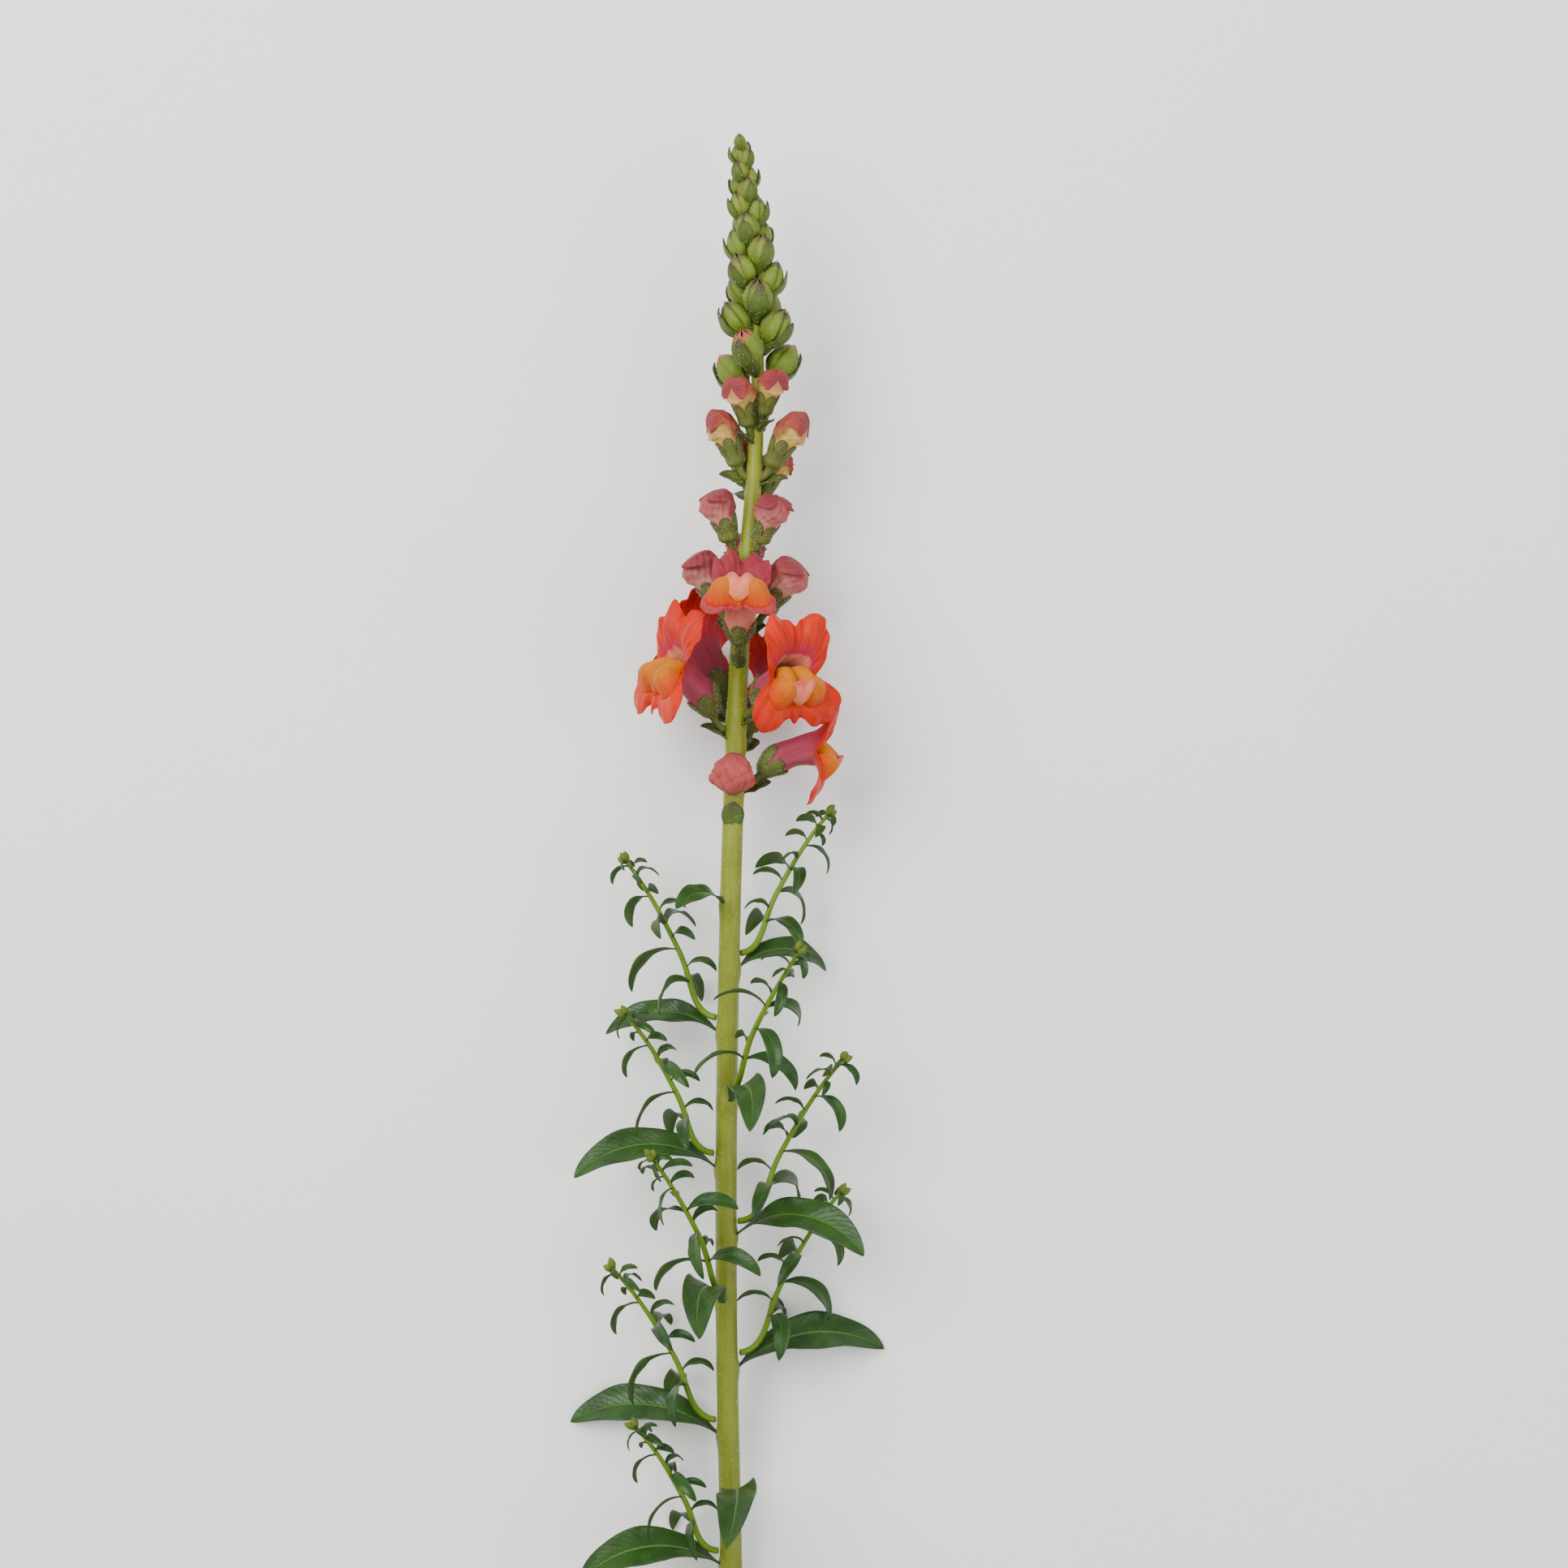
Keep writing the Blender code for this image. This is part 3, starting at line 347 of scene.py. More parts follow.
def radius_at(place):
    return smooth(place, STATIONS, RADII)


class GrowthLine:
    """The line that a stalk and its flower, or a shoot, grow along, with a frame at each distance."""

    STEPS = 120

    def __init__(self, place, azimuth, distances, rises, turns, start):
        """rises are angles above the outward direction and turns angles sideways, at those distances."""
        foot, side, outwards, tip = stem_frame(place, azimuth)
        self.distance = np.linspace(0.0, distances[-1], self.STEPS + 1)
        rise = np.radians(smooth(self.distance, distances, rises))[:, None]
        turn = np.radians(smooth(self.distance, distances, turns))[:, None]
        level = np.cos(rise) * outwards + np.sin(rise) * tip
        self.ahead = np.sin(turn) * side + np.cos(turn) * level
        self.up = np.cos(rise) * tip - np.sin(rise) * outwards
        self.side = np.cross(self.up, self.ahead)
        step = self.distance[1]
        middles = (self.ahead[1:] + self.ahead[:-1]) / 2
        self.points = np.vstack([np.zeros(3), np.cumsum(middles, axis=0) * step])
        self.points += foot + start * outwards

    def at(self, distance):
        """(point, side, up, ahead) at the distances along the line."""
        found = []
        for table in (self.points, self.side, self.up, self.ahead):
            columns = [np.interp(distance, self.distance, column) for column in table.T]
            found.append(np.stack(columns, axis=-1))
        return found[0], unit(found[1]), unit(found[2]), unit(found[3])

    def skin(self, distance, half_width, half_height, angles):
        """Points round the line, one for each distance and angle."""
        point, side, up, _ = self.at(distance)
        across = (half_width * np.cos(angles))[:, None] * side
        return point + across + (half_height * np.sin(angles))[:, None] * up


def flower_line(place, azimuth, rise_foot, rise_mouth, turn, size):
    """A flower's growth line: square out of the stem, up along its stalk, then out along its tube."""
    stalk, whole = STALK_LENGTH * size, (STALK_LENGTH + TUBE_LENGTH) * size
    start = float(radius_at(place)) + CLEARANCE
    distances = (0.0, stalk * 0.5, stalk, stalk + 0.45 * (whole - stalk), whole)
    rises = (10, rise_foot, rise_foot + 6, (rise_foot + rise_mouth) / 2, rise_mouth)
    turns = (0, 0, 0.1 * turn, 0.5 * turn, turn)
    return GrowthLine(place, azimuth, distances, rises, turns, start)


def coloured_bud_line(place, azimuth, size):
    """The growth line of a coloured bud, and how long its stalk is."""
    stalk = BUD_STALK * size
    whole = stalk + BUD_LENGTH * size
    distances = (0.0, stalk * 0.5, stalk, stalk + 0.6 * (whole - stalk), whole)
    start = float(radius_at(place)) * 0.7
    return GrowthLine(place, azimuth, distances, BUD_RISES, (0,) * 5, start), stalk


def lay_on_floor(points):
    """Points that would sink below the floor lie along it instead, moved outwards by part of their lift."""
    lowest = FLOOR_REST + BLADE / 2
    softness, spread = 0.0015, 0.6
    lifted = lowest + softness * np.logaddexp(0.0, (points[..., 2] - lowest) / softness)
    moved = points.copy()
    moved[..., 0] += np.sign(points[..., 0]) * (lifted - points[..., 2]) * spread
    moved[..., 2] = lifted
    return moved


# Blender helpers

SEAM_GAP = 0.000002
MATERIALS = {}


def linear(code):
    """A linear colour from its sRGB hex code."""
    values = [int(code[i : i + 2], 16) / 255 for i in (1, 3, 5)]
    return tuple(v / 12.92 if v <= 0.04045 else ((v + 0.055) / 1.055) ** 2.4 for v in values)


def deselect():
    if bpy.context.object and bpy.context.object.mode != "OBJECT":
        bpy.ops.object.mode_set(mode="OBJECT")
    bpy.ops.object.select_all(action="DESELECT")


def apply_modifier(piece, kind, **settings):
    deselect()
    piece.select_set(True)
    bpy.context.view_layer.objects.active = piece
    modifier = piece.modifiers.new(kind.lower(), kind)
    for name, value in settings.items():
        setattr(modifier, name, value)
    bpy.ops.object.modifier_apply(modifier=modifier.name)


def grid_piece(kind, name, place, tints=None):
    """A grid laid into its shape: place(u, v) gives its points and tints(u, v) its attributes.

    A piece that closes round has u=0 joined to u=1, and one with a wall is doubled into a closed skin.
    """
    across, along, finishes, wall, closes = KINDS[kind]
    deselect()
    bpy.ops.mesh.primitive_grid_add(x_subdivisions=across, y_subdivisions=along, size=1.0)
    piece = bpy.context.active_object
    piece.name = piece.data.name = name
    flat = np.empty(len(piece.data.vertices) * 3)
    piece.data.vertices.foreach_get("co", flat)
    flat = flat.reshape(-1, 3) + 0.5
    u, v = np.clip(flat[:, 0], 0.0, 1.0), np.clip(flat[:, 1], 0.0, 1.0)
    piece.data.vertices.foreach_set("co", place(u, v).ravel())
    for label, values in (tints(u, v) if tints else {}).items():
        attribute = piece.data.attributes.new(label, "FLOAT", "POINT")
        attribute.data.foreach_set("value", np.broadcast_to(values, u.shape).astype(np.float32))
    for finish in finishes:
        piece.data.materials.append(MATERIALS[finish])
    if closes:
        bpy.ops.object.mode_set(mode="EDIT")
        bpy.ops.mesh.select_all(action="SELECT")
        bpy.ops.mesh.remove_doubles(threshold=SEAM_GAP)
        bpy.ops.object.mode_set(mode="OBJECT")
    if wall:
        sides = {"material_offset": len(finishes) - 1, "material_offset_rim": 0}
        apply_modifier(piece, "SOLIDIFY", thickness=wall, offset=0.0, **sides)
    deselect()
    piece.select_set(True)
    bpy.context.view_layer.objects.active = piece
    bpy.ops.object.shade_smooth()
    return piece


def joined(name, pieces):
    """The pieces joined into one object of that name."""
    deselect()
    for piece in pieces:
        piece.select_set(True)
    bpy.context.view_layer.objects.active = pieces[0]
    bpy.ops.object.join()
    pieces[0].name = pieces[0].data.name = name
    return pieces[0]


def dressed(piece, slot, *nodes):
    """The piece rides on the body and stands for those solids. The slot is not used."""
    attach(piece, BODY)
    if nodes:
        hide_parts(*nodes)
    return piece


# Materials

# Two ways to mix colours: one laid over the other, and one shading the other
OVER = {"data_type": "RGBA", "blend_type": "MIX"}
SHADING = {"data_type": "RGBA", "blend_type": "MULTIPLY"}

# How the plant's skins take the light: greens waxy, petals matt and glowing, leaves glossy above and dull below
GREEN_SKIN = {"Subsurface Weight": 0.08, "Subsurface Scale": 0.001, "Specular IOR Level": 0.25}
PETAL_SKIN = {"Subsurface Weight": 0.15, "Subsurface Scale": 0.001, "Specular IOR Level": 0.12}
PETAL_GLOW = (1.0, 0.35, 0.25)
LEAF_TOP_SKIN = {"Subsurface Weight": 0.04, "Subsurface Scale": 0.0008, "Specular IOR Level": 0.32}
LEAF_UNDER_SKIN = {"Subsurface Weight": 0.04, "Subsurface Scale": 0.0008, "Specular IOR Level": 0.2}
HAIR_SKIN = {"Subsurface Weight": 0.2, "Subsurface Scale": 0.001}

# How fine the patterns are, in repeats to a metre. Plant cells are far finer than the render shows, so each
# grain is drawn coarser, at 0.5 mm on petals and 1.5 mm on greens. Clouds of colour are 6 to 11 mm across.
PETAL_CLOUDS, PETAL_GRAIN = 160.0, 2200.0
GREEN_CLOUDS, GREEN_GRAIN = 120.0, 700.0
LEAF_CLOUDS, LEAF_GRAIN = 90.0, 650.0
STEM_STREAKS = (900.0, 60.0, 900.0)
HAIR_CLOUDS, FLOOR_CLOUDS, FLOOR_GRAIN = 500.0, 3.0, 900.0
NOISE_ROUGHNESS = 0.55

# Veins by a petal's UV map, across and along it; a leaf's side veins by its length, and how far they slant
PETAL_VEINS = (95.0, 5.0, 1.0)
LEAF_VEINS, LEAF_VEIN_SLANT = 62.0, 0.32

# How deep each finish's relief is, in metres
PETAL_RELIEF, GREEN_RELIEF, LEAF_RELIEF, FLOOR_RELIEF = 0.00022, 0.00012, 0.00018, 0.00005

BLUSH = "#a04838"


class Finish:
    """A material under construction, on one Principled shader."""

    def __init__(self, name, roughness, skin=None):
        self.material = bpy.data.materials.new(name)
        self.material.use_nodes = True
        self.tree = self.material.node_tree
        self.shader = self.tree.nodes["Principled BSDF"]
        self.fill(self.shader, {"Roughness": roughness, **(skin or {})})

    def fill(self, node, inputs):
        """Fills sockets by name or number with values, hex codes or other nodes' outputs."""
        for label, value in inputs.items():
            if isinstance(value, bpy.types.NodeSocket):
                self.tree.links.new(value, node.inputs[label])
            else:
                node.inputs[label].default_value = (*linear(value), 1.0) if isinstance(value, str) else value

    def add(self, kind, inputs, output=0, stops=(), **settings):
        """The output of a new node. Inputs go by name or in order, and stops are a ramp's (place, colour)."""
        node = self.tree.nodes.new("ShaderNode" + kind)
        for name, value in settings.items():
            setattr(node, name, value)
        self.fill(node, inputs if isinstance(inputs, dict) else dict(enumerate(inputs)))
        if stops:
            elements = node.color_ramp.elements
            while len(elements) < len(stops):
                elements.new(0.5)
            for element, (place, colour) in zip(elements, stops):
                element.position = place
                element.color = (*(linear(colour) if isinstance(colour, str) else (colour,) * 3), 1.0)
        return node.outputs[output]

    def done(self, colour, relief=None, depth=0.0):
        """The material, with its colour and its relief joined to the shader."""
        self.fill(self.shader, {"Base Color": colour})
        if relief:
            bump = self.add("Bump", {"Height": relief, "Distance": depth, "Strength": 1.0}, "Normal")
            self.fill(self.shader, {"Normal": bump})
        return self.material


def petal_finish(name, upper, lower, roughness=0.5):
    """A petal with fine veins: colours from the tube's foot (0) over the mouth (0.5) to the lip's edge (1)."""
    finish = Finish(name, roughness, {**PETAL_SKIN, "Subsurface Radius": PETAL_GLOW})
    along = finish.add("Attribute", {}, "Fac", attribute_name="along")
    on_upper = finish.add("Attribute", {}, "Fac", attribute_name="upper")
    place = finish.add("TexCoord", {}, "Object")
    noise = {"Detail": 2.0, "Roughness": NOISE_ROUGHNESS}
    cloud = finish.add("TexNoise", {"Vector": place, "Scale": PETAL_CLOUDS, **noise}, "Fac")
    shift = finish.add("MapRange", (cloud, 0.3, 0.7, -0.06, 0.06))
    shifted = finish.add("Math", (along, shift), operation="ADD")
    low = finish.add("ValToRGB", (shifted,), "Color", lower)
    high = finish.add("ValToRGB", (shifted,), "Color", upper)
    face = finish.add("Mix", {0: on_upper, 6: low, 7: high}, 2, **OVER)
    stretched = finish.add("Mapping", {"Vector": finish.add("TexCoord", {}, "UV"), "Scale": PETAL_VEINS})
    strands = {"Vector": stretched, "Scale": 1.0, "Detail": 3.0, "Roughness": 0.6}
    veins = finish.add("TexNoise", strands, "Fac")
    shade = finish.add("ValToRGB", (veins,), "Color", ((0.30, 0.62), (0.52, 1.0), (0.75, 1.08)))
    colour = finish.add("Mix", {0: 0.75, 6: face, 7: shade}, 2, **SHADING)
    grain = finish.add("TexNoise", {"Vector": place, "Scale": PETAL_GRAIN, **noise}, "Fac")
    vein_share = finish.add("Math", (veins, 0.75), operation="MULTIPLY")
    grain_share = finish.add("Math", (grain, 0.25), operation="MULTIPLY")
    relief = finish.add("Math", (vein_share, grain_share), operation="ADD")
    return finish.done(colour, relief, PETAL_RELIEF)


def plant_finish(name, stops, roughness, tip=None, low=-0.31, mottle=0.14):
    """A green part, mottled and finely grained, with colours along the stem from low on Y up to its tip."""
    finish = Finish(name, roughness, GREEN_SKIN)
    place = finish.add("TexCoord", {}, "Object")
    along = finish.add("MapRange", (finish.add("SeparateXYZ", (place,), "Y"), low, STEM_LENGTH / 2, 0.0, 1.0))
    base = finish.add("ValToRGB", (along,), "Color", stops)
    noise = {"Detail": 3.0, "Roughness": NOISE_ROUGHNESS}
    cloud = finish.add("TexNoise", {"Vector": place, "Scale": GREEN_CLOUDS, **noise}, "Fac")
    shades = ((0.25, 1.0 - mottle), (0.5, 1.0), (0.8, 1.0 + mottle))
    shade = finish.add("ValToRGB", (cloud,), "Color", shades)
    stretched = finish.add("Mapping", {"Vector": place, "Scale": STEM_STREAKS})
    streaks = finish.add("TexNoise", {"Vector": stretched, "Scale": 1.0, **noise, "Detail": 2.0}, "Fac")
    streak_shade = finish.add("ValToRGB", (streaks,), "Color", ((0.3, 0.90), (0.6, 1.03)))
    mottled = finish.add("Mix", {0: 1.0, 6: base, 7: shade}, 2, **SHADING)
    green = finish.add("Mix", {0: 1.0, 6: mottled, 7: streak_shade}, 2, **SHADING)
    if tip:
        for label, tint in (("tip", tip), ("blush", BLUSH)):
            share = finish.add("Attribute", {}, "Fac", attribute_name=label)
            green = finish.add("Mix", {0: share, 6: green, 7: tint}, 2, **OVER)
    grain = finish.add("TexNoise", {"Vector": place, "Scale": GREEN_GRAIN, **noise}, "Fac")
    return finish.done(green, grain, GREEN_RELIEF)


def leaf_finish(name, dark, light, rib, roughness, veins, skin):
    """A leaf face: mottled green, a pale rib along its middle and side veins that slant towards its tip."""
    finish = Finish(name, roughness, skin)
    uv = finish.add("TexCoord", {}, "UV")
    across, along = finish.add("SeparateXYZ", (uv,), "X"), finish.add("SeparateXYZ", (uv,), "Y")
    from_middle = finish.add("Math", (across, 0.5), operation="SUBTRACT")
    off_rib = finish.add("Math", (from_middle,), operation="ABSOLUTE")
    place = finish.add("TexCoord", {}, "Object")
    noise = {"Vector": place, "Scale": LEAF_CLOUDS, "Detail": 4.0, "Roughness": NOISE_ROUGHNESS}
    cloud = finish.add("MapRange", (finish.add("TexNoise", noise, "Fac"), 0.3, 0.7, 0.0, 1.0))
    face = finish.add("Mix", {0: cloud, 6: dark, 7: light}, 2, **OVER)
    slant = finish.add("Math", (off_rib, LEAF_VEIN_SLANT), operation="MULTIPLY")
    slanted = finish.add("Math", (along, slant), operation="SUBTRACT")
    phase = finish.add("Math", (slanted, LEAF_VEINS), operation="MULTIPLY")
    wave = finish.add("Math", (finish.add("Math", (phase,), operation="SINE"),), operation="ABSOLUTE")
    vein = finish.add("MapRange", (wave, 0.0, 0.22, 1.0, 0.0))
    vein_tint = finish.add("Math", (vein, veins), operation="MULTIPLY")
    with_veins = finish.add("Mix", {0: vein_tint, 6: face, 7: rib}, 2, **OVER)
    main = finish.add("MapRange", (off_rib, 0.012, 0.040, 1.0, 0.0))
    main_tint = finish.add("Math", (main, 0.75), operation="MULTIPLY")
    colour = finish.add("Mix", {0: main_tint, 6: with_veins, 7: rib}, 2, **OVER)
    noise = {"Vector": place, "Scale": LEAF_GRAIN, "Detail": 2.0, "Roughness": NOISE_ROUGHNESS}
    relief = finish.add("TexNoise", noise, "Fac")
    for sunken, depth in ((vein, 0.6), (main, 1.2)):
        groove = finish.add("Math", (sunken, depth), operation="MULTIPLY")
        relief = finish.add("Math", (relief, groove), operation="SUBTRACT")
    return finish.done(colour, relief, LEAF_RELIEF)


def hair_finish():
    finish = Finish("fine_hairs", 0.5, HAIR_SKIN)
    place = finish.add("TexCoord", {}, "Object")
    noise = {"Vector": place, "Scale": HAIR_CLOUDS, "Detail": 1.0, "Roughness": NOISE_ROUGHNESS}
    cloud = finish.add("TexNoise", noise, "Fac")
    return finish.done(finish.add("ValToRGB", (cloud,), "Color", ((0.3, "#dfe3c4"), (0.7, "#f6f5ea"))))


def floor_finish():
    finish = Finish("pale_floor", 0.7)
    place = finish.add("TexCoord", {}, "Object")
    noise = {"Vector": place, "Roughness": NOISE_ROUGHNESS}
    cloud = finish.add("TexNoise", {**noise, "Scale": FLOOR_CLOUDS, "Detail": 4.0}, "Fac")
    grain = finish.add("TexNoise", {**noise, "Scale": FLOOR_GRAIN, "Detail": 2.0}, "Fac")
    colour = finish.add("ValToRGB", (cloud,), "Color", ((0.3, "#f6f6f4"), (0.7, "#fafaf8")))
    return finish.done(colour, grain, FLOOR_RELIEF)


def make_materials(red, pink, yellow):
    """All finishes by name, with the panel's colours where a user would change them."""
    # Juicy yellow green, a little duller towards the cut end, that reads as a smooth living stem
    stops = ((0.0, "#68741c"), (0.45, "#737d1e"), (0.70, "#7f8720"), (0.85, "#7d8424"), (1.0, "#6f7c24"))
    MATERIALS["stem"] = plant_finish("stem_skin", stops, 0.40)
    # Fresh green with brownish purple tips and edges, which sets each bud off from the next
    stops = ((0.0, "#5b6c1c"), (0.5, "#667a20"), (1.0, "#707f28"))
    MATERIALS["bud"] = plant_finish("green_bud", stops, 0.55, "#4c362c", low=0.2, mottle=0.22)
    # Dull olive felt that frames the pink tubes
    stops = ((0.0, "#4e5422"), (1.0, "#586022"))
    MATERIALS["calyx"] = plant_finish("calyx_green", stops, 0.6, "#54402e", mottle=0.28)
    # Darker green small leaves under the flowers and buds, with purplish tips
    stops = ((0.0, "#43541c"), (0.8, "#485a1c"), (1.0, "#506220"))
    MATERIALS["bract"] = plant_finish("bract_green", stops, 0.5, "#49322b", mottle=0.25)
    # Bright lime twigs between the dark leaves
    MATERIALS["shoot"] = plant_finish("shoot_skin", ((0.0, "#5a780c"), (1.0, "#607d12")), 0.45)
    # Dusty mauve tube that warms into orange red at the lips' edges: backs of the open petals
    upper = ((0.0, "#a85c50"), (0.15, "#963a4c"), (0.42, "#a03c50"), (0.60, "#b03040"), (0.80, "#c0281c"))
    lower = ((0.0, "#b4744c"), (0.22, "#a04454"), (0.45, "#a84858"), (0.62, "#b83c30"), (0.8, "#c42c10"))
    MATERIALS["petal_outside"] = petal_finish("petal_outside", (*upper, (1.0, red)), (*lower, (1.0, red)))
    # Pale throat, partly its own pale pink and partly painted light that lifts the shade of the deep mouth,
    # then magenta depth and glowing orange red lips: the faces the eye goes to first
    upper = ((0.0, "#cc8258"), (0.49, "#f09474"), (0.54, "#e07868"), (0.60, "#ac2c48"), (0.74, "#bc2818"))
    lower = ((0.0, "#c87040"), (0.5, "#c86414"), (0.66, "#c84608"), (0.78, "#c8300a"), (0.9, "#c62408"))
    lips = ((*upper, (1.0, red)), (*lower, (1.0, "#bc240c")))
    MATERIALS["petal_inside"] = petal_finish("petal_inside", *lips, 0.42)
    # Rose pink of the youngest open flower, paler on the tube's front
    rosy = ((0.0, "#a86850"), (0.25, "#a04a54"), (0.5, "#963844"), (0.75, "#8c2c38"), (1.0, pink))
    lower = ((0.0, "#c08460"), (0.25, "#d87a64"), (0.5, "#cc6a5c"), (0.75, "#bc4c40"), (1.0, "#b44434"))
    MATERIALS["pink_outside"] = petal_finish("young_petal_outside", rosy, lower, 0.55)
    lower = ((0.5, "#b86020"), (0.75, "#b03c34"), (1.0, pink))
    MATERIALS["pink_inside"] = petal_finish("young_petal_inside", rosy, lower)
    # Egg yolk yellow that turns orange where the cushion runs into the lip
    stops = ((0.0, "#cc8420"), (0.15, "#c87404"), (0.6, yellow), (0.88, "#c04a02"), (1.0, "#c03004"))
    MATERIALS["palate"] = petal_finish("palate_yellow", stops, stops, 0.5)
    # Pale salmon, so that the folded lobe stands out against the yellow
    stops = ((0.0, "#c8662c"), (0.22, "#e47a58"), (0.7, "#ea8062"), (1.0, "#cc5c50"))
    MATERIALS["heart"] = petal_finish("heart_lobe", stops, stops, 0.55)
    # Salmon pink hood over a creamy chin
    upper = ((0.0, "#a89448"), (0.35, "#a86e48"), (0.6, "#9c4c3c"), (0.85, "#904038"), (1.0, "#84363a"))
    lower = ((0.0, "#98923c"), (0.40, "#bca050"), (0.7, "#cca45c"), (1.0, "#b87454"))
    MATERIALS["bud_petals"] = petal_finish("bud_petals", upper, lower, 0.55)
    # Dusky rose of the flowers that are about to open, paler below
    upper = ((0.0, "#a06a58"), (0.3, "#984a50"), (0.6, "#8e3e42"), (1.0, "#7e3238"))
    lower = ((0.0, "#bc9470"), (0.4, "#bc7a6c"), (0.7, "#a45858"), (1.0, "#944444"))
    MATERIALS["opening_petals"] = petal_finish("opening_petals", upper, lower, 0.55)
    # Faded salmon with brownish folds: a flower that is over
    stops = ((0.0, "#7c4a3c"), (0.3, "#a44a48"), (0.7, "#aa4c4a"), (1.0, "#8a3c3c"))
    MATERIALS["withered"] = petal_finish("withered_petals", stops, stops, 0.6)
    # Deep glossy green above and duller grey green below, which tells the curled leaves' two faces apart
    top, under = ("#143206", "#2a5010", "#4e7a24"), ("#30481a", "#3e5828", "#5c763a")
    MATERIALS["leaf_top"] = leaf_finish("leaf_top", *top, 0.36, 0.14, LEAF_TOP_SKIN)
    MATERIALS["leaf_under"] = leaf_finish("leaf_under", *under, 0.55, 0.25, LEAF_UNDER_SKIN)
    # Silvery down, which softens the edges of the green parts
    MATERIALS["hair"] = hair_finish()
    # Smooth pale board, which leaves the flowers the only colour
    MATERIALS["floor"] = floor_finish()


# Pieces


def tube_piece(kind, name, point_at, cap_share=0.01):
    """A closed tube with flat ends: point_at(share, angle, shrink) gives its skin."""

    def place(u, v):
        share = np.clip((v - cap_share) / (1 - 2 * cap_share), 0.0, 1.0)
        shrink = np.clip(np.minimum(v, 1 - v) / cap_share, 0.001, 1.0)
        return point_at(share, 2 * math.pi * u, shrink)

    return grid_piece(kind, name, place)


def leaf_place(root, out, up, length, width, rises, fold, sway, twist, ruffle, phase):
    """place(u, v) of a leaf: it rises by the first angle, bends over to the second, and twists its face."""
    side = unit(np.cross(out, up))
    start, end = math.radians(rises[0]), math.radians(rises[1])
    turned = end - start

    def place(u, v):
        along = v[:, None]
        angle = start + turned * along
        reach = length * (np.sin(angle) - math.sin(start)) / turned
        climb = length * (math.cos(start) - np.cos(angle)) / turned
        rib = root + reach * out + climb * up + sway * along**2 * side
        lift = np.cos(angle) * up - np.sin(angle) * out
        turn = math.radians(twist) * np.minimum(1.0, 2.5 * along)
        across = np.cos(turn) * side - np.sin(turn) * lift
        lift = np.cos(turn) * lift + np.sin(turn) * side
        # A lance-shaped outline, widest just past its middle, on a short narrow foot
        swell = v**0.85 * (1 - v) ** 0.75 / 0.42
        foot = 0.05 * width * (1 - v) + 0.0004 * (1 - v**6) + 0.00005
        half = np.maximum(width / 2 * swell, foot)
        # Across it: folded up along the rib, waved at its edges, puckered between its side veins
        off = 2 * u - 1
        bend = fold * (off**2 * 0.75 + np.abs(off) * 0.35)
        wave = ruffle * off**2 * np.sin(v * 15 + phase + 1.5 * off) * (v * (1 - v) * 4)
        wave = wave + 0.05 * np.sin(math.pi * (v * 9 - np.abs(off) * 1.6)) * np.abs(off) * (1 - off**2)
        rise = half * (bend + wave) - 0.05 * half * np.exp(-((off / 0.12) ** 2))
        points = rib + (off * half)[:, None] * across + rise[:, None] * lift
        return lay_on_floor(points)

    return place


def darkened(v, off, tip, rim, most):
    """How dark a green piece's tip and edges are, where off goes from 0 at its middle to 1 at its edge."""
    tip_strength, tip_start, tip_end = tip
    rim_strength, across, start, end = rim
    edges = ease(off, across, 1.0) * ease(v, start, end)
    return np.clip(tip_strength * ease(v, tip_start, tip_end) + rim_strength * edges, 0.0, most)


def bract_piece(foot, azimuth, length, width, rises, draws):
    """A small pointed bract whose root is sunk in the stem, darker at its tip and edges."""
    point, _, out, tip = stem_frame(foot, azimuth)
    root = point + out * float(radius_at(foot)) * 0.6
    twist = BRACT_TWIST * math.cos(math.radians(azimuth)) + draws.uniform(-12, 12)
    phase = draws.uniform(0, 6)
    place = leaf_place(root, out, tip, length, width, rises, 0.38, 0.0, twist, 0.10, phase)

    def tints(u, v):
        return {"tip": darkened(v, np.abs(2 * u - 1), *DARK_BRACT)}

    return grid_piece("bract", "bract", place, tints)


def cupped_bract(line, reach, size, length):
    """A broad pointed bract that hugs the outer side of its bud, with its point bent away."""

    def place(u, v):
        off = 2 * u - 1
        start = 0.25 * reach
        distance = start + v * (length - start)
        share = np.clip((distance - reach + BUD_START * size) / (BUD_SPAN * size), 0.0, 1.0)
        body = smooth(share, BUD_SHARES, BUD_RADII) * size
        away = body + 0.0007 + 0.0010 * v**4
        half = np.maximum(size * v**0.6 * (1 - v) ** 0.85, 0.0006 * (1 - v**4) + 0.0001)
        turn = off * half / np.maximum(away, 0.0012)
        crease = 0.0004 * np.exp(-((off / 0.15) ** 2)) * np.sin(math.pi * v)
        return line.skin(distance, away + crease, away + crease, turn - math.pi / 2)

    def tints(u, v):
        return {"tip": darkened(v, np.abs(2 * u - 1), *DARK_CUPPED_BRACT)}

    return grid_piece("cupped_bract", "bract", place, tints)


def sepal_outline(angle, notch, peak):
    """How far a ring of five blunt sepals reaches at each angle round it."""
    turn = (angle - math.pi / 2) / (2 * math.pi) * SEPALS
    off = np.abs((turn % 1.0) * 2 - 1)
    return notch + (peak - notch) * np.clip(1 - off**2.4, 0.0, 1.0) ** 0.5, off


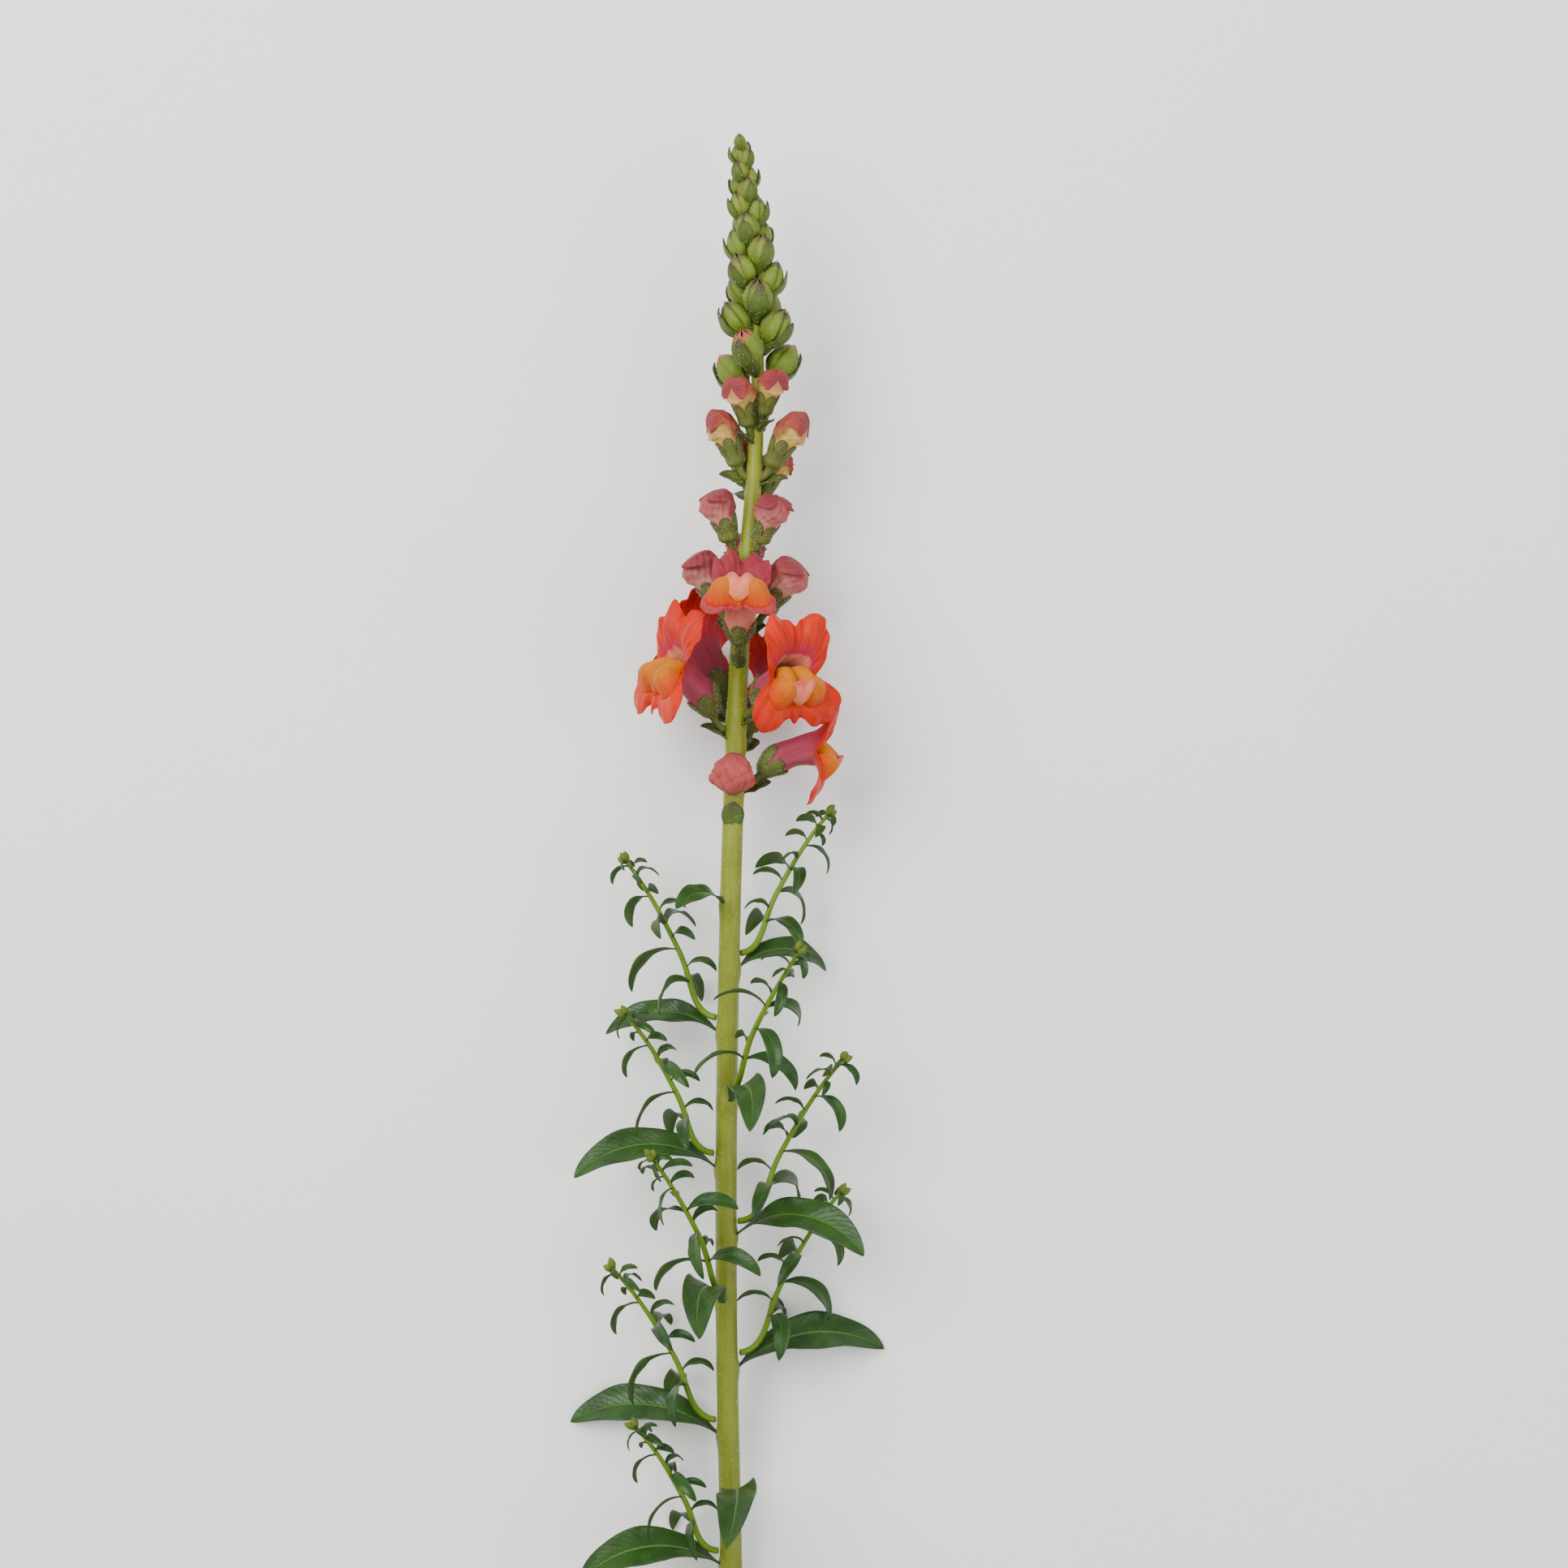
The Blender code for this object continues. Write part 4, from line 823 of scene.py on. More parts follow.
def calyx_piece(name, line, stalk, size, radii_at, notch, peak):
    """Stalk, cup and five sepals: radii_at(reach) gives the half width and height that they stand round."""
    radius = STALK_RADIUS * size
    cup = 0.30

    def place(u, v):
        angle = 2 * math.pi * u
        reach, off = sepal_outline(angle, notch, peak)
        share = np.clip((v - cup) / (1 - cup), 0.0, 1.0)
        reached = reach * share
        half_width, half_height = radii_at(reached)
        ridge = 0.00025 * np.cos(off * math.pi) * np.sin(math.pi * np.clip(share * 0.85, 0, 1))
        away = CALYX_WALL * (0.7 - 0.4 * share**2) + ridge
        stalk_share = np.clip(v / cup, 0.0, 1.0)
        bell = ease(stalk_share, 0.72, 1.0)
        wide = np.where(v < cup, radius + (half_width + away - radius) * bell, half_width + away)
        high = np.where(v < cup, radius + (half_height + away - radius) * bell, half_height + away)
        distance = np.where(v < cup, stalk * stalk_share, stalk + reached)
        return line.skin(distance, wide, high, angle)

    def tints(u, v):
        off = sepal_outline(2 * math.pi * u, notch, peak)[1]
        return {"tip": darkened(v, off, *DARK_SEPALS)}

    return grid_piece("sepals", name, place, tints)


def one_sided(u, v):
    """Attributes of a petal piece that has one set of colours: how far along it each point is."""
    return {"along": v, "upper": 1.0}


class OpenFlower:
    """The pieces of one open flower."""

    # How much of the grid's length the tube takes; the lips take the rest
    TUBE_SHARE = 0.42

    def __init__(self, number, draws):
        *bends, self.lips, self.size = OPEN_FLOWERS[number - 1]
        self.number = number
        self.line = flower_line(*bends, self.size)
        self.stalk, self.tube = STALK_LENGTH * self.size, TUBE_LENGTH * self.size
        self.mouth = self.stalk + self.tube
        self.sway, self.phase = draws.uniform(6, 12), draws.uniform(0, 2 * math.pi)
        self.pink = number in PINK_FLOWERS

    def lip(self, degrees, share, offset=0.0):
        """Points of the lips, waved and ruffled, at angles round the mouth and shares of the lips' length."""
        angle = np.radians(degrees)
        half = np.where(degrees > 90, 180 - degrees, degrees)
        half = np.where(degrees < -90, -180 - degrees, half)
        left = np.cos(angle) < -1e-6
        length = smooth(half, LIP_ANGLES, LIP_LENGTHS) * self.size * self.lips
        length *= 1 + 0.035 * np.sin(7 * angle + self.phase) + 0.02 * np.sin(17 * angle + 2 * self.phase)
        spread = smooth(half, LIP_ANGLES, LIP_SPREADS)
        spread = np.radians(np.where(left, 180 - spread, spread))
        root = np.radians(smooth(half, LIP_ANGLES, LIP_LEANS_AT_ROOT))
        edge = smooth(half, LIP_ANGLES, LIP_LEANS_AT_EDGE)
        edge = np.radians(edge + self.sway * np.sin(2 * angle + self.phase))
        lean = root + (edge - root) * share
        turned = edge - root
        forwards = length * (np.sin(lean) - np.sin(root)) / turned
        outwards = length * (np.cos(root) - np.cos(lean)) / turned
        at_mouth = np.full_like(share, self.mouth)
        _, side, up, ahead = self.line.at(at_mouth)
        half_width = TUBE_HALF_WIDTHS[-1] * self.size - BLADE / 2
        half_height = TUBE_HALF_HEIGHTS[-1] * self.size - BLADE / 2
        rim = self.line.skin(at_mouth, half_width, half_height, angle)
        direction = np.cos(spread)[:, None] * side + np.sin(spread)[:, None] * up
        front = np.sin(lean)[:, None] * ahead - np.cos(lean)[:, None] * direction
        upper = ease(half, 0, 25)
        ruffle = 0.0011 * share**2.2 * np.sin(9 * angle + 2.0 * share + self.phase) * (0.55 + 0.45 * upper)
        ruffle += 0.00035 * share**1.5 * np.sin(23 * angle - 3 * share + 2 * self.phase)
        dome = 0.0009 * np.sin(np.pi * share) * np.cos(np.radians((half - 58) * 2.6)) * upper
        lifted = (offset + ruffle + dome) * self.size
        return rim + forwards[:, None] * ahead + outwards[:, None] * direction + lifted[:, None] * front

    def tube_radii(self, reached):
        """The tube's half width and height at that distance from its foot."""
        part = reached / self.tube
        wide = smooth(part, TUBE_SHARES, TUBE_HALF_WIDTHS) * self.size
        return wide, smooth(part, TUBE_SHARES, TUBE_HALF_HEIGHTS) * self.size

    def corolla(self):
        def place(u, v):
            degrees = 90.0 - 360.0 * u
            degrees = np.where(degrees < -180, degrees + 360, degrees)
            on_tube = v < self.TUBE_SHARE
            part = np.clip(v / self.TUBE_SHARE, 0.0, 1.0)
            fold = 1 + 0.035 * np.cos(5 * np.radians(degrees)) * np.sin(math.pi * part)
            wide = smooth(part, TUBE_SHARES, TUBE_HALF_WIDTHS) * self.size * fold - BLADE / 2 * part
            high = smooth(part, TUBE_SHARES, TUBE_HALF_HEIGHTS) * self.size * fold - BLADE / 2 * part
            tube = self.line.skin(self.stalk + part * self.tube, wide, high, np.radians(degrees))
            share = np.clip((v - self.TUBE_SHARE) / (1 - self.TUBE_SHARE), 0.0, 1.0)
            return np.where(on_tube[:, None], tube, self.lip(degrees, share))

        def tints(u, v):
            degrees = 90.0 - 360.0 * u
            upper = ease(np.sin(np.radians(degrees)), -0.28, 0.12)
            tube = 0.5 * v / self.TUBE_SHARE
            lip = 0.5 + 0.5 * (v - self.TUBE_SHARE) / (1 - self.TUBE_SHARE)
            return {"along": np.where(v < self.TUBE_SHARE, tube, lip), "upper": upper}

        kind = "pink_petals" if self.pink else "red_petals"
        piece = grid_piece(kind, f"flower_{self.number}_petals", place, tints)
        if self.number in RESTING_FLOWERS:
            rest_on_floor(piece)
        return piece

    def cushion_point(self, u, v):
        """Points of the two-humped cushion, from its upper edge in the mouth down to the lip."""
        degrees = CUSHION_START + CUSHION_TURN * u
        mouth, side, up, ahead = self.line.at(np.full_like(u, self.mouth))
        half_width, height = CUSHION_TOP
        across = (np.cos(np.radians(degrees)) * half_width * 0.9 * self.size)[:, None] * side
        top = mouth + across + 0.9 * height * self.size * up - height * self.size * ahead
        reach = PALATE_SHARE / self.lips + 0.04
        down = np.clip((v - CUSHION_RIM) / (1 - CUSHION_RIM), 0.0, 1.0)
        base = self.lip(degrees, down * reach, 0.0002)
        blend = ease(v, 0.0, CUSHION_RIM)[:, None]
        base = top * (1 - blend) + base * blend
        off = np.abs(2 * u - 1)
        humps = np.sqrt(np.clip(1 - ((off - 0.46) / 0.54) ** 2, 0.0, 1.0))
        swell = smooth(v, CUSHION_SHARES, CUSHION_SWELLS)
        crease = 1 + 0.015 * np.sin(11 * u * math.pi) * np.sin(math.pi * v)
        height = PALATE_HEIGHT * 1.02 * self.size * humps * swell * crease
        return base + height[:, None] * unit(ahead + 0.12 * up)

    def cushion(self):
        return grid_piece("cushion", f"flower_{self.number}_cushion", self.cushion_point, one_sided)

    def heart(self):
        """The middle lobe of the lower lip, folded up over the cushion: its pale back shows as a heart."""
        _, side, _, ahead = (a[0] for a in self.line.at(np.array([self.mouth])))
        low = self.cushion_point(np.array([0.5]), np.array([0.93]))[0] + 0.0008 * ahead
        top = self.cushion_point(np.array([0.5]), np.array([0.30]))[0] + 0.0030 * ahead
        height = np.linalg.norm(top - low) * 1.45
        climb = unit(top - low)
        front = unit(np.cross(side, climb))

        def place(u, v):
            off = 2 * u - 1
            outline = 0.0063 * self.size * v**0.8 + 0.0005
            crown = 1 - 0.17 * np.exp(-((off / 0.22) ** 2)) - 0.36 * np.abs(off) ** 3
            bulge = 0.0014 * np.sin(math.pi * v) * (1 - off**2)
            bulge = bulge + 0.0013 * np.exp(-(((np.abs(off) - 0.5) / 0.28) ** 2)) * v
            flat = low + (off * outline)[:, None] * side + (height * v * crown)[:, None] * climb
            return flat + bulge[:, None] * front

        return grid_piece("heart", f"flower_{self.number}_heart_lobe", place, one_sided)

    def calyx(self):
        peak, notch = SEPAL_LENGTH * self.size, SEPAL_NOTCH * self.size
        name = f"flower_{self.number}_sepals"
        return calyx_piece(name, self.line, self.stalk, self.size, self.tube_radii, notch, peak)


def rest_on_floor(piece):
    """Points below the floor are set down on it."""
    points = np.empty(len(piece.data.vertices) * 3)
    piece.data.vertices.foreach_get("co", points)
    points = points.reshape(-1, 3)
    points[:, 2] = np.maximum(points[:, 2], 0.0)
    piece.data.vertices.foreach_set("co", points.ravel())


def folded_piece(kind, name, line, start, length, size, phase):
    """Folded petals: a wrinkled hood with a cleft along its top, which laps over the cheeks and chin."""
    cap = 0.04

    def shares(u, v):
        """Share of the length, degrees below the top, and how far the point lies inside the hood's edge."""
        share = np.clip((v - cap) / (1 - cap), 0.0, 1.0)
        from_top = np.abs(360.0 * u - 180.0)
        edge = 76 + 70 * ease(share, 0.62, 0.97) + 6 * np.sin(9 * share + phase)
        return share, from_top, edge - from_top

    def place(u, v):
        share, from_top, inside = shares(u, v)
        angle = 2 * math.pi * u - math.pi / 2
        grown = ease(share, 0.28, 0.46)
        hood = 0.0009 * ease(inside, -4, 3) * grown
        roll = 0.0005 * np.exp(-(((inside - 8) / 8) ** 2)) * grown
        groove = -0.0006 * np.exp(-(((inside + 9) / 7) ** 2)) * grown
        cleft = -0.0009 * np.exp(-((from_top / 9.0) ** 2)) * ease(share, 0.40, 0.70)
        chin = 0.0010 * np.exp(-(((share - 0.66) / 0.16) ** 2)) * np.clip(-np.sin(angle), 0, 1)
        ridges = np.sin(3 * angle - 9 * share + 2 * phase)
        wrinkle = 0.00030 * np.sin(7 * angle + 16 * share + phase) * ridges
        wrinkle += 0.00014 * np.sin(15 * angle - 24 * share + phase)
        more = (hood + roll + groove + cleft + chin + wrinkle * ease(share, 0.25, 0.6)) * size
        closing = np.sqrt(np.clip(1 - ((share - 0.90) / 0.10).clip(0) ** 2, 0.0, 1.0))
        shrink = np.maximum(closing, 0.02) * np.clip(v / cap, 0.01, 1.0)
        wide = (smooth(share, FOLDED_SHARES, FOLDED_HALF_WIDTHS) * size + more) * shrink
        high = (smooth(share, FOLDED_SHARES, FOLDED_HALF_HEIGHTS) * size + more) * shrink
        return line.skin(start + share * length, wide, high, angle)

    def tints(u, v):
        share, _, inside = shares(u, v)
        return {"along": share, "upper": ease(inside, -4, 3) * ease(share, 0.24, 0.42)}

    return grid_piece(kind, name, place, tints)


def folded_flower(kind, name, line, stalk, size, whole, petal_size, phase):
    """Dresses petals that stand out of their cup; whole is the way from the cup's foot to their tip."""
    foot = stalk + CUP_FLOOR * size + CLEARANCE
    petals = folded_piece(kind, f"{name}_folds", line, foot, stalk + whole - foot, petal_size, phase)
    dressed(petals, "petal_pink", f"{name}_petals")


def petal_cup(name, line, stalk, size, whole, petal_size):
    """The sepals round the foot of folded petals; whole is the way from that foot to the petals' tip."""
    floor = CUP_FLOOR * size + CLEARANCE

    def radii(reached):
        share = np.clip((reached - floor) / (whole - floor), 0.0, 1.0)
        wide = smooth(share, FOLDED_SHARES, FOLDED_HALF_WIDTHS) * petal_size
        return wide, smooth(share, FOLDED_SHARES, FOLDED_HALF_HEIGHTS) * petal_size

    notch, peak = 0.42 * SEPAL_LENGTH * size, 1.12 * SEPAL_LENGTH * size
    return calyx_piece(name, line, stalk, size, radii, notch, peak)


def withered_piece():
    """The shrivelled corolla: a flattened bag in crumpled folds."""
    place_on_stem, azimuth = WITHERED_PLACE
    start = float(radius_at(place_on_stem)) + CLEARANCE + WITHERED_LIFT
    line = GrowthLine(place_on_stem, azimuth, WITHERED_REACHES, WITHERED_RISES, (0,) * 4, start)

    def place(u, v):
        angle = 2 * math.pi * u
        reach = WITHERED_REACHES[-1] * (1.04 * v - 0.02)
        closing = np.sin(math.pi * np.clip(v, 0.01, 0.99)) ** 0.35
        crumple = 1.22 + 0.15 * np.sin(2 * angle + 8 * v) + 0.10 * np.sin(3 * angle - 7 * v + 2)
        folds = 0.16 * np.abs(np.sin(4 * angle + 6 * v)) ** 6
        crumple -= folds + 0.12 * np.abs(np.sin(3 * angle - 11 * v + 1)) ** 8
        crumple += 0.03 * np.sin(17 * angle + 23 * v)
        wide = smooth(reach, WITHERED_REACHES, WITHERED_HALF_WIDTHS) * closing * crumple
        high = smooth(reach, WITHERED_REACHES, WITHERED_HALF_HEIGHTS) * closing * crumple
        return line.skin(reach, wide, high, angle)

    return grid_piece("withered", "shrivelled_corolla", place, one_sided)


def bud_piece(line, reach, size, blush, draws):
    """A closed green bud: five pointed sepals that lap over each other; blush tints its top."""
    phase = draws.uniform(0, 1)

    def across_sepal(u):
        return (u * SEPALS + phase + 0.05 * np.sin(5 * u)) % 1.0

    def place(u, v):
        angle = 2 * math.pi * u
        start = reach * 0.4
        off = across_sepal(u)
        end = reach + (1.27 - 0.20 * np.abs(2 * off - 1) ** 1.5) * size
        distance = start + v * (end - start)
        share = np.clip((distance - reach + BUD_START * size) / (BUD_SPAN * size), 0.0, 1.0)
        body = smooth(share, BUD_SHARES, BUD_RADII) * size
        swell = np.sin(math.pi * np.clip(share, 0.0, 0.92))
        lap = 0.16 * (off - 0.5) + 0.10 * np.sin(math.pi * off) - 0.16 * np.exp(-((off / 0.12) ** 2))
        return line.skin(distance, body * (1 + lap * swell), body * (0.96 + lap * swell), angle)

    def tints(u, v):
        tip = darkened(v, across_sepal(u), *DARK_BUD)
        return {"tip": tip * (1 - blush), "blush": blush * ease(v, 0.84, 0.95)}

    return grid_piece("bud", "bud", place, tints)


def head_bud_places():
    """Place, azimuth and size of each green bud, lowest first; they close up towards the tip."""
    shares = np.linspace(0.0, 1.0, HEAD_BUDS)
    places = FIRST_GREEN_BUD + (LAST_GREEN_BUD - FIRST_GREEN_BUD) * (1.3 * shares - 0.3 * shares**2)
    for number, (share, place) in enumerate(zip(shares, places)):
        size = float(np.interp(share, (0.0, 0.45, 1.0), BUD_SIZES))
        yield float(place), (number * GOLDEN_ANGLE + FIRST_AZIMUTH) % 360, size


def stem_skin(start, end, swellings, slimness=1.0):
    """point_at for the main stem between two places, with a swelling on each joint."""

    def point_at(share, angle, shrink):
        place = start + (end - start) * share
        point, side, out, _ = stem_frame(place, np.full_like(place, 90.0))
        ribs = 1 + 0.022 * np.sin(5 * angle + 15 * place) + 0.01 * np.sin(11 * angle)
        radius = radius_at(place) * slimness * ribs
        for joint, azimuth, size in swellings:
            towards = 0.5 + 0.5 * np.cos(angle - math.radians(90 - azimuth))
            radius = radius + size * np.exp(-(((place - joint) / 0.0034) ** 2)) * towards**2
        radius = radius * shrink
        return point + (radius * np.cos(angle))[:, None] * out + (radius * np.sin(angle))[:, None] * side

    return point_at


def surface_samples(pieces, count, draws):
    """Random points on the pieces, spread evenly by area, with the surface's direction there."""
    corners, normals, areas = [], [], []
    for piece in pieces:
        mesh = piece.data
        mesh.calc_loop_triangles()
        points = np.empty(len(mesh.vertices) * 3)
        mesh.vertices.foreach_get("co", points)
        triangles = np.empty(len(mesh.loop_triangles) * 3, dtype=np.int32)
        mesh.loop_triangles.foreach_get("vertices", triangles)
        found = points.reshape(-1, 3)[triangles.reshape(-1, 3)]
        cross = np.cross(found[:, 1] - found[:, 0], found[:, 2] - found[:, 0])
        size = np.linalg.norm(cross, axis=1)
        good = size > 1e-12
        corners.append(found[good])
        normals.append(cross[good] / size[good][:, None])
        areas.append(size[good])
    corners, normals, areas = np.concatenate(corners), np.concatenate(normals), np.concatenate(areas)
    chosen = draws.choice(len(areas), size=count, p=areas / areas.sum())
    a, b = draws.random(count), draws.random(count)
    over = a + b > 1
    a, b = np.where(over, 1 - a, a)[:, None], np.where(over, 1 - b, b)[:, None]
    first, second, third = (corners[chosen][:, corner] for corner in range(3))
    return first + a * (second - first) + b * (third - first), normals[chosen]


def hair_piece(name, pieces, count, length, seed):
    """Fine hairs that stand out of the pieces: a slim triangle each."""
    draws = np.random.default_rng(seed)
    roots, normals = surface_samples(pieces, count, draws)
    tilt = unit(normals + 0.45 * draws.normal(size=normals.shape))
    flat = unit(np.cross(tilt, draws.normal(size=normals.shape)))
    lengths = length * draws.uniform(0.55, 1.25, size=count)[:, None]
    corners = [roots - HAIR_WIDTH * flat, roots + HAIR_WIDTH * flat, roots + lengths * tilt]
    points = np.stack(corners, axis=1).reshape(-1, 3)
    points[:, 2] = np.maximum(points[:, 2], 0.0)
    mesh = bpy.data.meshes.new(name)
    faces = np.arange(len(points)).reshape(-1, 3)
    mesh.from_pydata(points.tolist(), [], faces.tolist())
    mesh.materials.append(MATERIALS["hair"])
    piece = bpy.data.objects.new(name, mesh)
    bpy.context.scene.collection.objects.link(piece)
    return piece


# The pieces that carry hairs, in the order they are made: the stem, the head and then each flower's sepals
HAIRY = []


# Operators


class SnapdragonColours(bpy.types.PropertyGroup):
    """Colours and light that a user would change."""

    petal_red: bpy.props.FloatVectorProperty(
        name="Petal red",
        description="Edge of the open petals",
        subtype="COLOR",
        default=linear("#c62402"),
    )
    petal_pink: bpy.props.FloatVectorProperty(
        name="Petal pink",
        description="Edge of the young petals",
        subtype="COLOR",
        default=linear("#98303c"),
    )
    palate_yellow: bpy.props.FloatVectorProperty(
        name="Palate yellow",
        description="Cushion on the lower lip",
        subtype="COLOR",
        default=linear("#c06800"),
    )
    hairs: bpy.props.IntProperty(
        name="Hairs", description="Fine hairs on the green parts", default=26000, min=0
    )
    key_light: bpy.props.FloatProperty(
        name="Key light", description="Power of the large light", subtype="POWER", default=26.0, min=0.0
    )


def hex_of(colour):
    """The sRGB hex code of a linear colour."""
    codes = [12.92 * c if c <= 0.0031308 else 1.055 * c ** (1 / 2.4) - 0.055 for c in colour]
    return "#" + "".join(f"{round(255 * min(max(c, 0.0), 1.0)):02x}" for c in codes)


class SNAPDRAGON_OT_stage(bpy.types.Operator):
    """Makes the finishes, the pale floor, the soft lights and the camera"""

    bl_idname = "snapdragon.stage"
    bl_label = "Stage"

    def execute(self, context):
        settings = context.scene.snapdragon
        colours = (settings.petal_red, settings.petal_pink, settings.palate_yellow)
        make_materials(*(hex_of(colour) for colour in colours))
        deselect()
        bpy.ops.mesh.primitive_plane_add(size=8.0, location=(0.0, 0.0, 0.0))
        floor = context.active_object
        floor.name = "floor"
        floor.data.materials.append(MATERIALS["floor"])
        for name, share, *form in LIGHTS:
            self.light(name, settings.key_light * share, *form)
        world = bpy.data.worlds.new("studio")
        context.scene.world = world
        world.use_nodes = True
        room = world.node_tree.nodes["Background"].inputs
        room["Color"].default_value = (1.0, 1.0, 1.0, 1.0)
        room["Strength"].default_value = ROOM_LIGHT
        self.camera(context)
        return {"FINISHED"}

    def light(self, name, power, size, place, target):
        bpy.ops.object.light_add(type="AREA", location=place)
        lamp = bpy.context.active_object
        lamp.name = name
        lamp.data.energy = power
        lamp.data.shape = "DISK"
        lamp.data.size = size
        direction = unit(np.array(target) - np.array(place))
        turn = math.atan2(direction[1], direction[0]) - math.pi / 2
        lamp.rotation_euler = (math.acos(-direction[2]), 0.0, turn)

    def camera(self, context):
        """Straight above, with the photograph's frame on the stem's own height."""
        middle = PHOTO_SIDE / 2
        x = (middle - PHOTO_AXIS_COLUMN) / PHOTO_PIXELS_PER_METRE - CENTRE[0]
        y = (PHOTO_FOOT_ROW - middle) / PHOTO_PIXELS_PER_METRE - CENTRE[1]
        height = smooth(SCALE_PLACE, STATIONS, HEIGHTS) + PHOTO_SIDE / PHOTO_PIXELS_PER_METRE * LENS / FILM
        bpy.ops.object.camera_add(location=(x, y, height), rotation=(0.0, 0.0, 0.0))
        camera = context.active_object
        camera.data.lens = LENS * 1000
        camera.data.sensor_width = FILM * 1000
        context.scene.camera = camera


class SNAPDRAGON_OT_main_stem(bpy.types.Operator):
    """Models the main stem with its joints, the bracts under its flowers and its cut end"""

    bl_idname = "snapdragon.main_stem"
    bl_label = "Main stem"

    def execute(self, context):
        draws = random.Random(11)
        swellings = [(place - 0.001, azimuth, 0.0007) for place, azimuth, *_ in LEAVES]
        swellings += [(f[0] - 0.001, f[1], 0.0005) for f in OPEN_FLOWERS + OPENING_FLOWERS]
        skin = stem_skin(0.0, HEAD_START, swellings)
        pieces = [tube_piece("stem", "stem_skin", skin, 0.002)]
        for flowers, (below, *form) in ((OPEN_FLOWERS, FLOWER_BRACT), (OPENING_FLOWERS, OPENING_BRACT)):
            for place, azimuth, *_ in flowers:
                pieces.append(bract_piece(place - below, azimuth, *form, draws))
        pieces.append(bract_piece(*SPOON_BRACT, draws))
        stem = dressed(joined("main_stem", pieces), "stem_green", "stem")
        HAIRY.append(stem)
        return {"FINISHED"}


class SNAPDRAGON_OT_bud_head(bpy.types.Operator):
    """Models the tapering head: its axis, green buds with their bracts, and the coloured buds' cups"""

    bl_idname = "snapdragon.bud_head"
    bl_label = "Bud head"

    def execute(self, context):
        draws = random.Random(12)
        # The axis starts inside the stem's end, a little slimmer than it, so that no gap shows between them
        axis = stem_skin(HEAD_START - 0.004, STEM_LENGTH, [], 0.985)
        pieces = [tube_piece("axis", "axis", axis, 0.004)]
        for place, azimuth, size in COLOURED_BUDS:
            line, stalk = coloured_bud_line(place, azimuth, size)
            pieces.append(petal_cup("cup", line, stalk, size, BUD_LENGTH * size, BUD_PETALS * size))
            below, *form = COLOURED_BUD_BRACT
            pieces.append(bract_piece(place - below, azimuth, *form, draws))
        for number, (place, azimuth, size) in enumerate(head_bud_places()):
            share = (place - FIRST_GREEN_BUD) / (STEM_LENGTH - FIRST_GREEN_BUD)
            rise = BUD_RISE + BUD_RISE_GAIN * share
            reach = BUD_REACH_LOSS * (1 - share) + BUD_REACH
            blush = 1.0 if number < BLUSHING_BUDS else 0.0
            distances = (0.0, reach, reach + 1.30 * size)
            line = GrowthLine(place, azimuth, distances, (rise * 0.5, rise, rise + 8), (0, 0, 0), 0.0)
            pieces.append(bud_piece(line, reach, size, blush, draws))
            cover = reach + draws.uniform(1.0, 1.2) * size
            pieces.append(cupped_bract(line, reach, size, cover))
        head = dressed(joined("green_head", pieces), "bud_green", "bud_head")
        HAIRY.append(head)
        return {"FINISHED"}


class SNAPDRAGON_OT_open_flowers(bpy.types.Operator):
    """Models the open flowers, with their folded heart-shaped lobes, and the shrivelled one"""

    bl_idname = "snapdragon.open_flowers"
    bl_label = "Open flowers"

    def execute(self, context):
        draws = random.Random(5)
        for number in range(1, len(OPEN_FLOWERS) + 1):
            flower = OpenFlower(number, draws)
            petal_slot = "petal_pink" if flower.pink else "petal_red"
            dressed(flower.corolla(), petal_slot, f"flower_{number}_corolla")
            dressed(flower.cushion(), "palate_yellow", f"flower_{number}_palate")
            HAIRY.append(dressed(flower.calyx(), "calyx_green", f"flower_{number}_calyx"))
            if number in HEART_FLOWERS:
                dressed(flower.heart(), "petal_pink")
        dressed(withered_piece(), "petal_pink", "withered_flower")
        return {"FINISHED"}


class SNAPDRAGON_OT_opening_flowers(bpy.types.Operator):
    """Models the flowers whose petals are still folded, in their cups"""

    bl_idname = "snapdragon.opening_flowers"
    bl_label = "Opening flowers"

    def execute(self, context):
        for number, spec in enumerate(OPENING_FLOWERS, 1):
            size = spec[-1]
            line, stalk, name = flower_line(*spec), STALK_LENGTH * size, f"opening_flower_{number}"
            form = (line, stalk, size, TUBE_LENGTH * size, OPENING_PETALS * size)
            folded_flower("opening_folds", name, *form, number)
            cup = petal_cup(f"{name}_sepals", *form)
            HAIRY.append(dressed(cup, "calyx_green", f"{name}_calyx"))
        return {"FINISHED"}


class SNAPDRAGON_OT_coloured_buds(bpy.types.Operator):
    """Models the folded petals that stand out of the coloured buds"""

    bl_idname = "snapdragon.coloured_buds"
    bl_label = "Coloured buds"

    def execute(self, context):
        for number, (place, azimuth, size) in enumerate(COLOURED_BUDS, 1):
            form = (*coloured_bud_line(place, azimuth, size), size, BUD_LENGTH * size, BUD_PETALS * size)
            folded_flower("bud_folds", f"bud_{number}", *form, number)
        return {"FINISHED"}


class SNAPDRAGON_OT_leaves(bpy.types.Operator):
    """Models the leaves of the main stem"""

    bl_idname = "snapdragon.leaves"
    bl_label = "Leaves"

    def execute(self, context):
        draws = random.Random(21)
        for number, (place, azimuth, length, width, rise, fall, sway) in enumerate(LEAVES, 1):
            point, _, out, tip = stem_frame(place, azimuth)
            root = point + out * (float(radius_at(place)) + CLEARANCE)
            twist = LEAF_TWIST * math.cos(math.radians(azimuth))
            form = (length, width, (rise, fall), LEAF_FOLD, sway, twist, LEAF_RUFFLE)
            shape = leaf_place(root, out, tip, *form, draws.uniform(0, 6))
            dressed(grid_piece("leaf", f"leaf_{number}_blade", shape), "leaf_green", f"leaf_{number}")
        return {"FINISHED"}


